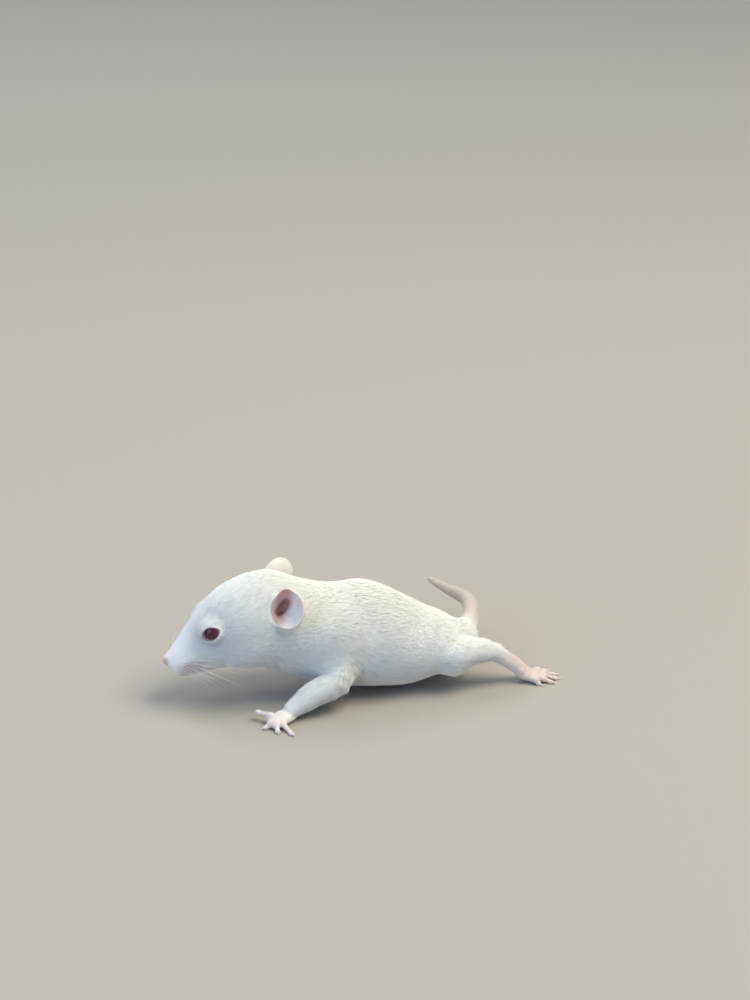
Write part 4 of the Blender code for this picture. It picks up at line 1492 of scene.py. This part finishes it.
def spun(name, paths, finish, root_radius, tip_share, fullness, sides):
    """Threads along paths, each an array of points from root to tip in millimetres."""
    sizes = [len(path) for path in paths]
    starts = np.concatenate([[0], np.cumsum(sizes)[:-1]])
    edges = [(s + i, s + i + 1) for s, n in zip(starts, sizes) for i in range(n - 1)]
    mesh = bpy.data.meshes.new(name)
    mesh.from_pydata(to_model(np.concatenate(paths)).tolist(), edges, [])
    reach = np.concatenate([np.linspace(0, 1, n) for n in sizes])
    keep_on_points(mesh, "reach", reach)
    made = object_of(mesh)
    spinner = made.modifiers.new("Threads", "NODES")
    spinner.node_group = THREADS
    values = {
        "Root radius": root_radius * MM,
        "Tip share": tip_share,
        "Fullness": fullness,
        "Sides": sides,
        "Finish": finish,
    }
    for item in THREADS.interface.items_tree:
        if item.in_out == "INPUT" and item.name in values:
            spinner[item.identifier] = values[item.name]
    applied(made)
    smooth_faces(made.data)
    print(name, len(paths), "threads,", len(made.data.polygons), "faces")
    return made


# %% Finding the skin along a ray
def skin_on(starts, ways, reach):
    """Where rays from inside the body come out of the skin."""
    starts, ways = np.asarray(starts, float), unit(ways)
    low, high = np.zeros(len(starts)), np.full(len(starts), float(reach))
    for _ in range(22):
        middle = (low + high) / 2
        inside = skin_distance(starts + ways * middle[:, None]) < 0
        low, high = np.where(inside, middle, low), np.where(inside, high, middle)
    return starts + ways * high[:, None]


# %% Whisker routes
BRUSH = np.random.default_rng(77)


def bent(root, way, sag, length, steps=9):
    """A path that leaves its root along way and bends towards sag."""
    t = np.linspace(0, 1, steps)[:, None]
    return root + length * (t * unit(way) + 0.5 * t**2 * np.asarray(sag))


def whisker_paths(side):
    """Five rows of whiskers on one side of the muzzle, the hindmost longest, and two over the eye."""
    roots, ways, lengths = [], [], []
    for row in range(5):
        for column in range(3 + (row in (1, 2, 3))):
            along = 15.0 - 0.78 * column - 0.10 * row
            up = 0.05 - 0.56 * row - 0.10 * column
            roots.append(from_head((along, 0.35, up), side))
            out, fan = side * (0.95 - 0.09 * row), 0.5 - 0.42 * row
            ways.append(-(0.55 + 0.16 * column) * HEAD_ALONG + out * LATERAL + fan * HEAD_UP)
            lengths.append((3.6 + 1.5 * column - 0.3 * row) * BRUSH.uniform(0.85, 1.12))
    outward = [side * LATERAL + 0.12 * (2 - k // 4) * HEAD_UP for k in range(len(roots))]
    bases = skin_on(roots, outward, 5.0)
    paths = []
    for base, way, length in zip(bases, ways, lengths):
        way = unit(way) + 0.07 * BRUSH.normal(size=3)
        paths.append(bent(base - 0.15 * unit(way), way, (0.30, 0.0, -0.32), length))
    brow = [from_head((8.6 - 0.5 * k, 2.6, 3.0), side) for k in range(2)]
    for base in skin_on(brow, [side * 0.35 * LATERAL + HEAD_UP] * 2, 4.0):
        length = 3.0 * BRUSH.uniform(0.9, 1.1)
        paths.append(bent(base, (0.55, side * 0.35, 0.75), (0.5, 0, -0.3), length))
    return paths


def chin_paths():
    """Six short hairs under the chin, in two rows."""
    starts = [from_head((13.2 - 0.9 * k, 0.0, -2.6), 1) for k in range(3)]
    ways = [side * 0.45 * LATERAL - HEAD_UP for side in (-1, 1) for _ in range(3)]
    paths = []
    for base, way in zip(skin_on(starts * 2, ways, 4.0), ways):
        length = 1.3 * BRUSH.uniform(0.8, 1.2)
        paths.append(bent(base, way + np.array([0.5, 0, 0]), (0.3, 0, 0), length, 6))
    return paths


# %% Claw routes
def claw_paths(name):
    """A small curved claw at the tip of each digit of a paw."""
    paths = []
    paw = PAWS[name]
    hooks = SOLE_FACES.get(name, -1)
    for k in range(len(paw.tips)):
        _, knuckle, tip = digit_route(paw, k)
        way = unit((tip - knuckle) * (1, 1, 0.25))
        start = tip + 0.12 * way + (0, 0, 0.16 - 0.08 * hooks)
        length = 0.85 if name.startswith("hind") else 0.72
        path = bent(start, way + np.array([0, 0, 0.18 * -hooks]), (0, 0, 0.95 * hooks), length, 7)
        path[:, 2] = np.maximum(path[:, 2], 0.07)
        paths.append(path)
    return paths


# %% Bristle routes
GOLDEN_TURN = 2.399963  # radians from one bristle to the next, so that no row of them repeats


def bristle_paths(count=900):
    """Short bristles that lie along the bare part of the tail."""
    at = np.linspace(0.09, 0.985, count) * TAIL_LENGTHS[-1]
    centres = np.stack([np.interp(at, TAIL_LENGTHS, TAIL_ROUTE[:, k]) for k in range(3)], axis=1)
    ahead = np.stack([np.interp(at + 0.2, TAIL_LENGTHS, TAIL_ROUTE[:, k]) for k in range(3)], axis=1)
    ahead[-12:] = centres[-12:] + (centres[-12:] - centres[-24:-12])
    forwards = unit(ahead - centres)
    around = unit(np.cross(forwards, (0.1, 0.2, 1.0)))
    turn = (np.arange(count) * GOLDEN_TURN + 0.25 * BRUSH.normal(size=count))[:, None]
    out = np.cos(turn) * around + np.sin(turn) * np.cross(forwards, around)
    bases = skin_on(centres, out, 4.0)
    lean = forwards + 0.30 * out
    lengths = BRUSH.uniform(0.42, 0.75, count)
    paths = []
    for base, way, outward, length in zip(bases, lean, out, lengths):
        paths.append(bent(base - 0.03 * way, way + 0.05 * BRUSH.normal(size=3), -0.25 * outward, length, 4))
    return paths


# %% [markdown]
# ## Eyeballs
# A mouse's eye is a whole ball, not a disc, so it goes as deep as the real one. The clear front bulges a
# little more than the rest. Each point remembers how far it turns away from the line of sight, and the
# material reads that to place pupil, iris and dark rim.

# %% Eyeballs
CORNEA_RISE, CORNEA_TURN = 0.09, 0.62  # how far the clear front bulges, and the angle it fades over


def eyeball(name, side):
    ball = bmesh.new()
    bmesh.ops.create_uvsphere(ball, u_segments=40, v_segments=28, radius=1.0)
    mesh = bpy.data.meshes.new(name)
    ball.to_mesh(mesh)
    ball.free()
    directions = coordinates(mesh)
    turn = np.arccos(np.clip(directions[:, 2], -1, 1))
    radius = EYE_RADIUS - 0.02 + CORNEA_RISE * np.exp(-((turn / CORNEA_TURN) ** 2))
    centre, axes = eye_frame(side)
    move_points(mesh, to_model(centre + (directions * radius[:, None]) @ axes))
    keep_on_points(mesh, "turn", turn)
    work = bmesh.new()
    work.from_mesh(mesh)
    bmesh.ops.recalc_face_normals(work, faces=work.faces)
    work.to_mesh(mesh)
    work.free()
    smooth_faces(mesh)
    return object_of(mesh)


EYEBALLS = {side_name: eyeball(f"eyeball_{side_name}", side) for side_name, side in SIDES.items()}
print("eyeballs of", len(EYEBALLS["left"].data.polygons), "faces")

# %% [markdown]
# ## Finishes
# Two effects serve several materials, so each is a node group: a soft mottle that keeps any colour from
# being flat, and the colour of the coat, which the hairs and the skin under them share. The coat's colour
# holds painted warm light: it is creamier the higher it lies, as if lit warm from above, and clearer on the
# belly and the face.

# %% Shared effects
def group(name, inputs, outputs):
    tree = bpy.data.node_groups.new(name, "ShaderNodeTree")
    for socket, kind, value in inputs:
        made = tree.interface.new_socket(socket, in_out="INPUT", socket_type=kind)
        made.default_value = value
    for socket, kind in outputs:
        tree.interface.new_socket(socket, in_out="OUTPUT", socket_type=kind)
    return tree, tree.nodes.new("NodeGroupInput"), tree.nodes.new("NodeGroupOutput")


def mottle_group():
    tree, start, end = group(
        "mottle",
        (("Scale", "NodeSocketFloat", 900.0), ("Amount", "NodeSocketFloat", 0.2)),
        (("Mask", "NodeSocketFloat"),),
    )
    place = tree.nodes.new("ShaderNodeTexCoord")
    cloud = tree.nodes.new("ShaderNodeTexNoise")
    cloud.inputs["Detail"].default_value = 4.0
    spread = tree.nodes.new("ShaderNodeMath")
    spread.operation = "MULTIPLY"
    link(tree, place.outputs["Object"], cloud.inputs["Vector"])
    link(tree, start.outputs["Scale"], cloud.inputs["Scale"])
    link(tree, cloud.outputs["Fac"], spread.inputs[0])
    link(tree, start.outputs["Amount"], spread.inputs[1])
    link(tree, spread.outputs[0], end.inputs["Mask"])
    return tree


def mixed(tree, mask, first, second):
    """A colour mix whose sockets may be colours or links."""
    mix = tree.nodes.new("ShaderNodeMix")
    mix.data_type = "RGBA"
    for value, socket in ((mask, mix.inputs[0]), (first, mix.inputs[6]), (second, mix.inputs[7])):
        if isinstance(value, bpy.types.NodeSocket):
            link(tree, value, socket)
        else:
            socket.default_value = value if isinstance(value, float) else (*value, 1.0)
    return mix.outputs[2]


MOTTLE = mottle_group()
# The first of these is a cream of painted warm light, which the coat takes more the higher it lies; the
# second is the coat's own white, the third a cool tint that a random mottle adds.
PAINTED_WARM_LIGHT, CLEAR, COOL = (0.975, 0.96, 0.885), (0.97, 0.97, 0.96), (0.935, 0.94, 0.955)


def fur_colour_and_warm_light_group():
    tree, start, end = group(
        "fur_colour_and_painted_warm_light",
        (("Height", "NodeSocketFloat", 0.017),),
        (("Colour", "NodeSocketColor"),),
    )
    place = tree.nodes.new("ShaderNodeTexCoord")
    parts = tree.nodes.new("ShaderNodeSeparateXYZ")
    link(tree, place.outputs["Object"], parts.inputs[0])
    rise = tree.nodes.new("ShaderNodeMath")
    rise.operation = "DIVIDE"
    rise.use_clamp = True
    link(tree, parts.outputs["Z"], rise.inputs[0])
    link(tree, start.outputs["Height"], rise.inputs[1])
    face = tree.nodes.new("ShaderNodeMapRange")
    face.interpolation_type = "SMOOTHSTEP"
    face.inputs["From Min"].default_value = -0.012
    face.inputs["From Max"].default_value = -0.024
    link(tree, parts.outputs["X"], face.inputs["Value"])
    soft = tree.nodes.new("ShaderNodeGroup")
    soft.node_tree = MOTTLE
    soft.inputs["Scale"].default_value = 450.0
    soft.inputs["Amount"].default_value = 0.5
    # painted warm light: creamier the higher the point lies, and clear white again on the face
    body = mixed(tree, rise.outputs[0], CLEAR, PAINTED_WARM_LIGHT)
    body = mixed(tree, face.outputs[0], body, CLEAR)
    link(tree, mixed(tree, soft.outputs["Mask"], body, COOL), end.inputs["Colour"])
    return tree


FUR_COLOUR_AND_WARM_LIGHT = fur_colour_and_warm_light_group()


# %% A helper for materials
class Finish:
    """A material with its Principled shader, and short ways to reach attributes, groups and bumps."""

    def __init__(self, name, roughness, **constants):
        self.material = bpy.data.materials.new(name)
        self.material.use_nodes = True
        self.tree = self.material.node_tree
        self.shader = self.tree.nodes["Principled BSDF"]
        self.shader.inputs["Roughness"].default_value = roughness
        for socket, value in constants.items():
            self.shader.inputs[socket.replace("_", " ")].default_value = value

    def attribute(self, name):
        node = self.tree.nodes.new("ShaderNodeAttribute")
        node.attribute_name = name
        return node.outputs["Fac"]

    def group(self, tree, **values):
        node = self.tree.nodes.new("ShaderNodeGroup")
        node.node_tree = tree
        for socket, value in values.items():
            node.inputs[socket].default_value = value
        return node.outputs[0]

    def maths(self, operation, *values, clamp=False):
        node = self.tree.nodes.new("ShaderNodeMath")
        node.operation, node.use_clamp = operation, clamp
        for socket, value in zip(node.inputs, values):
            if isinstance(value, bpy.types.NodeSocket):
                link(self.tree, value, socket)
            else:
                socket.default_value = value
        return node.outputs[0]

    def mix(self, mask, first, second):
        return mixed(self.tree, mask, first, second)

    def colour(self, value):
        link(self.tree, value, self.shader.inputs["Base Color"])

    def rough(self, value):
        link(self.tree, value, self.shader.inputs["Roughness"])

    def bump(self, height, depth, strength=1.0):
        node = self.tree.nodes.new("ShaderNodeBump")
        node.inputs["Strength"].default_value = strength
        node.inputs["Distance"].default_value = depth
        link(self.tree, height, node.inputs["Height"])
        link(self.tree, node.outputs[0], self.shader.inputs["Normal"])


# %% [markdown]
# ## Fur
# A tuft is much thicker than a hair, so its own sides would catch the light like carved plaster. Its
# shading follows the smooth shape of the body instead, with only a little of its own round. Faces that look
# into the animal keep their own direction, or they would turn black where the smooth one points away from
# them.

# %% Fur
def round_normal_group():
    """The smooth normal of the coat, but each hair's own one on the faces that look into the animal."""
    tree, start, end = group(
        "round_normal",
        (("Softness", "NodeSocketFloat", 0.4),),
        (("Normal", "NodeSocketVector"),),
    )
    here = tree.nodes.new("ShaderNodeNewGeometry")
    agree = tree.nodes.new("ShaderNodeVectorMath")
    agree.operation = "DOT_PRODUCT"
    share = tree.nodes.new("ShaderNodeMapRange")
    share.inputs["From Min"].default_value = -0.2
    blend = tree.nodes.new("ShaderNodeMix")
    blend.data_type = "VECTOR"
    even = tree.nodes.new("ShaderNodeVectorMath")
    even.operation = "NORMALIZE"
    for node in (agree, blend):
        vectors = [socket for socket in node.inputs if socket.type == "VECTOR" and socket.enabled][:2]
        link(tree, here.outputs["True Normal"], vectors[0])
        link(tree, here.outputs["Normal"], vectors[1])
    link(tree, agree.outputs["Value"], share.inputs["Value"])
    link(tree, start.outputs["Softness"], share.inputs["From Max"])
    link(tree, share.outputs[0], blend.inputs[0])
    link(tree, next(socket for socket in blend.outputs if socket.enabled), even.inputs[0])
    link(tree, even.outputs["Vector"], end.inputs["Normal"])
    return tree


ROUND_NORMAL = round_normal_group()


def fur_finish():
    """White hairs, greyer in some locks and painted greyer round the eyes as shade, painted creamier along
    the back as warm light, with a soft sheen and the round normal of the whole coat.
    """
    fur = Finish("white_fur", 0.62, Sheen_Weight=0.25, Sheen_Roughness=0.5, Specular_IOR_Level=0.35)
    # painted shade: this tone greys the coat round the eyes, besides the random grey of some locks
    tone = fur.maths("MULTIPLY", fur.attribute("tone"), 0.16)
    fur.colour(fur.mix(tone, fur.group(FUR_COLOUR_AND_WARM_LIGHT), (0.45, 0.46, 0.50)))
    fine = fur.group(MOTTLE, Scale=5000.0, Amount=1.0)
    fur.rough(fur.maths("MULTIPLY_ADD", fine, 0.2, 0.52))
    link(fur.tree, fur.group(ROUND_NORMAL), fur.shader.inputs["Normal"])
    return fur.material


# %% [markdown]
# ## Skin and eyes
# Bare skin is thin, so light goes in, spreads and comes out redder. Subsurface scattering with a longer
# radius for red does that. The marks kept on the points say where the skin is pink or blushed, where the
# whisker pads are dusky, where the edges of the lids are painted dusky as shade, and where nostrils and ear
# canals are painted dark as the shade in them; sine waves along the tail make its rings of scales. An
# albino's iris has no pigment and shows the dark red of the blood behind it, so its colours come from a ramp
# over the angle from the middle of the pupil.

# %% Skin
RING_SPACING = 0.42  # millimetres between the rings of scales on the tail


def skin_finish():
    skin = Finish(
        "mouse_skin",
        0.5,
        Subsurface_Weight=0.35,
        Subsurface_Radius=(1.0, 0.32, 0.22),
        Subsurface_Scale=0.0009,
        Specular_IOR_Level=0.4,
    )
    bare, blush, dusk, deep = (skin.attribute(name) for name in ("bare", "blush", "dusk", "deep"))
    cloud = skin.group(MOTTLE, Scale=700.0, Amount=1.0)
    pink = skin.mix(cloud, (0.78, 0.665, 0.615), (0.68, 0.545, 0.50))
    beige = skin.mix(cloud, (0.57, 0.48, 0.405), (0.48, 0.39, 0.33))
    pink = skin.mix(skin.attribute("tail"), pink, beige)
    # under the coat the skin takes the coat's colour, its painted warm light included
    colour = skin.mix(bare, skin.group(FUR_COLOUR_AND_WARM_LIGHT), pink)
    colour = skin.mix(blush, colour, skin.mix(cloud, (0.60, 0.30, 0.29), (0.44, 0.18, 0.19)))
    # painted shade at the edges of the lids, and the whisker pads' own dusky colour
    colour = skin.mix(dusk, colour, skin.mix(cloud, (0.50, 0.36, 0.40), (0.26, 0.13, 0.17)))
    # painted shade: almost black red in the ear canals and nostrils
    colour = skin.mix(deep, colour, (0.13, 0.022, 0.03))
    ring = skin.maths("SINE", skin.maths("MULTIPLY", skin.attribute("rings"), math.tau / RING_SPACING))
    ring = skin.maths("MULTIPLY", ring, skin.attribute("tail"))
    raised = skin.maths("MULTIPLY", skin.maths("MAXIMUM", ring, 0.0), 0.10)
    colour = skin.mix(raised, colour, (0.62, 0.42, 0.40))
    skin.colour(colour)
    pores = skin.group(MOTTLE, Scale=9000.0, Amount=1.0)
    skin.rough(skin.maths("MULTIPLY_ADD", pores, 0.25, 0.36))
    height = skin.maths("ADD", skin.maths("MULTIPLY", pores, 0.8), skin.maths("MULTIPLY", ring, 0.55))
    skin.bump(height, 0.00005, 0.7)
    return skin.material


# %% Eyes of ruby
# share of half a turn from the middle of the pupil, and the colour there
EYE_COLOURS = (
    (0.0, (0.030, 0.002, 0.007)),
    (0.10, (0.038, 0.003, 0.010)),
    (0.16, (0.085, 0.009, 0.024)),
    (0.25, (0.105, 0.014, 0.034)),
    (0.33, (0.045, 0.005, 0.014)),
    (0.42, (0.025, 0.002, 0.008)),
    (0.50, (0.50, 0.25, 0.25)),
)


def eye_finish():
    """A dark ruby pupil and iris, a darker rim, and the pink of the ball behind them."""
    eye = Finish("ruby_eye", 0.12, Coat_Weight=0.4, Coat_Roughness=0.04, Specular_IOR_Level=0.3)
    turn = eye.attribute("turn")
    ramp_node = eye.tree.nodes.new("ShaderNodeValToRGB")
    elements = ramp_node.color_ramp.elements
    for k, (place, colour) in enumerate(EYE_COLOURS):
        stop = elements[k] if k < 2 else elements.new(place)
        stop.position, stop.color = place, (*colour, 1.0)
    cloud = eye.group(MOTTLE, Scale=2600.0, Amount=0.16)
    reading = eye.maths("ADD", eye.maths("DIVIDE", turn, math.pi), eye.maths("SUBTRACT", cloud, 0.08))
    link(eye.tree, reading, ramp_node.inputs["Fac"])
    flecks = eye.group(MOTTLE, Scale=3800.0, Amount=0.5)
    eye.colour(eye.mix(flecks, ramp_node.outputs["Color"], (0.11, 0.012, 0.03)))
    return eye.material


# %% Whiskers, claws and bristles
def thread_finish(name, first, second, roughness, **constants):
    """Horn or stiff hair in a mottle of two colours."""
    thread = Finish(name, roughness, **constants)
    cloud = thread.group(MOTTLE, Scale=3000.0, Amount=1.0)
    thread.colour(thread.mix(cloud, first, second))
    thread.rough(thread.maths("MULTIPLY_ADD", cloud, 0.15, roughness - 0.07))
    return thread.material


WHITE_FUR, MOUSE_SKIN, RUBY = fur_finish(), skin_finish(), eye_finish()
WHISKER = thread_finish("whisker", (0.80, 0.78, 0.74), (0.90, 0.89, 0.86), 0.35)
CLAW = thread_finish(
    "claw_horn",
    (0.78, 0.66, 0.61),
    (0.88, 0.80, 0.75),
    0.3,
    Subsurface_Weight=0.3,
    Subsurface_Radius=(1.0, 0.5, 0.4),
    Subsurface_Scale=0.0003,
)
BRISTLE = thread_finish("bristle", (0.82, 0.78, 0.72), (0.90, 0.87, 0.82), 0.45)

# %% Giving out the materials
skin.data.materials.clear()
skin.data.materials.append(MOUSE_SKIN)
for piece in coat:
    piece.data.materials.append(WHITE_FUR)
for ball in EYEBALLS.values():
    ball.data.materials.append(RUBY)
print("materials:", len(bpy.data.materials))

# %% Threads on the animal
# radius at the root in millimetres, share of it at the tip, fullness, and sides of the section
WHISKER_FORM = (0.034, 0.16, 1.0, 5)
CHIN_FORM = (0.02, 0.2, 1.0, 4)
CLAW_FORM = (0.14, 0.14, 1.3, 8)
BRISTLE_FORM = (0.014, 0.2, 1.0, 3)
threads = []  # each piece with its slot
for side_name, side in SIDES.items():
    threads.append((spun(f"whiskers_{side_name}", whisker_paths(side), WHISKER, *WHISKER_FORM), "fur"))
threads.append((spun("chin_hairs", chin_paths(), WHISKER, *CHIN_FORM), "fur"))
for name in PAWS:
    threads.append((spun(f"claws_{name}", claw_paths(name), CLAW, *CLAW_FORM), "foot_skin"))
threads.append((spun("tail_bristles", bristle_paths(), BRISTLE, *BRISTLE_FORM), "tail_skin"))

# %% [markdown]
# ## Joining the model
# The skin stands for every piece of flesh and each eyeball for its solid, so those solids are hidden.
# Everything rides on the one body of this still model.

# %% Riding, replacing and measuring
move_points(skin.data, to_model(skin_points))
smooth_faces(skin.data)
skin.data.update()
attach(skin, "root")
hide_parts(*FLESH)
for piece in coat:
    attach(piece, "root")
for side_name, ball in EYEBALLS.items():
    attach(ball, "root")
    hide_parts(f"eye_{side_name}")
for piece, slot in threads:
    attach(piece, "root")

looks_box = [list(corner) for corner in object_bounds()]
over = (np.array(looks_box) - np.array(CAD_BOX)) / MM
print("the looks reach past the solids by, in mm:", np.round(over, 2).tolist())
meshes = [piece.data for piece in bpy.context.scene.objects if piece.type == "MESH"]
faces = sum(len(mesh.loop_triangles) or len(mesh.polygons) for mesh in meshes)
print("triangles or faces in the scene:", faces, clock())
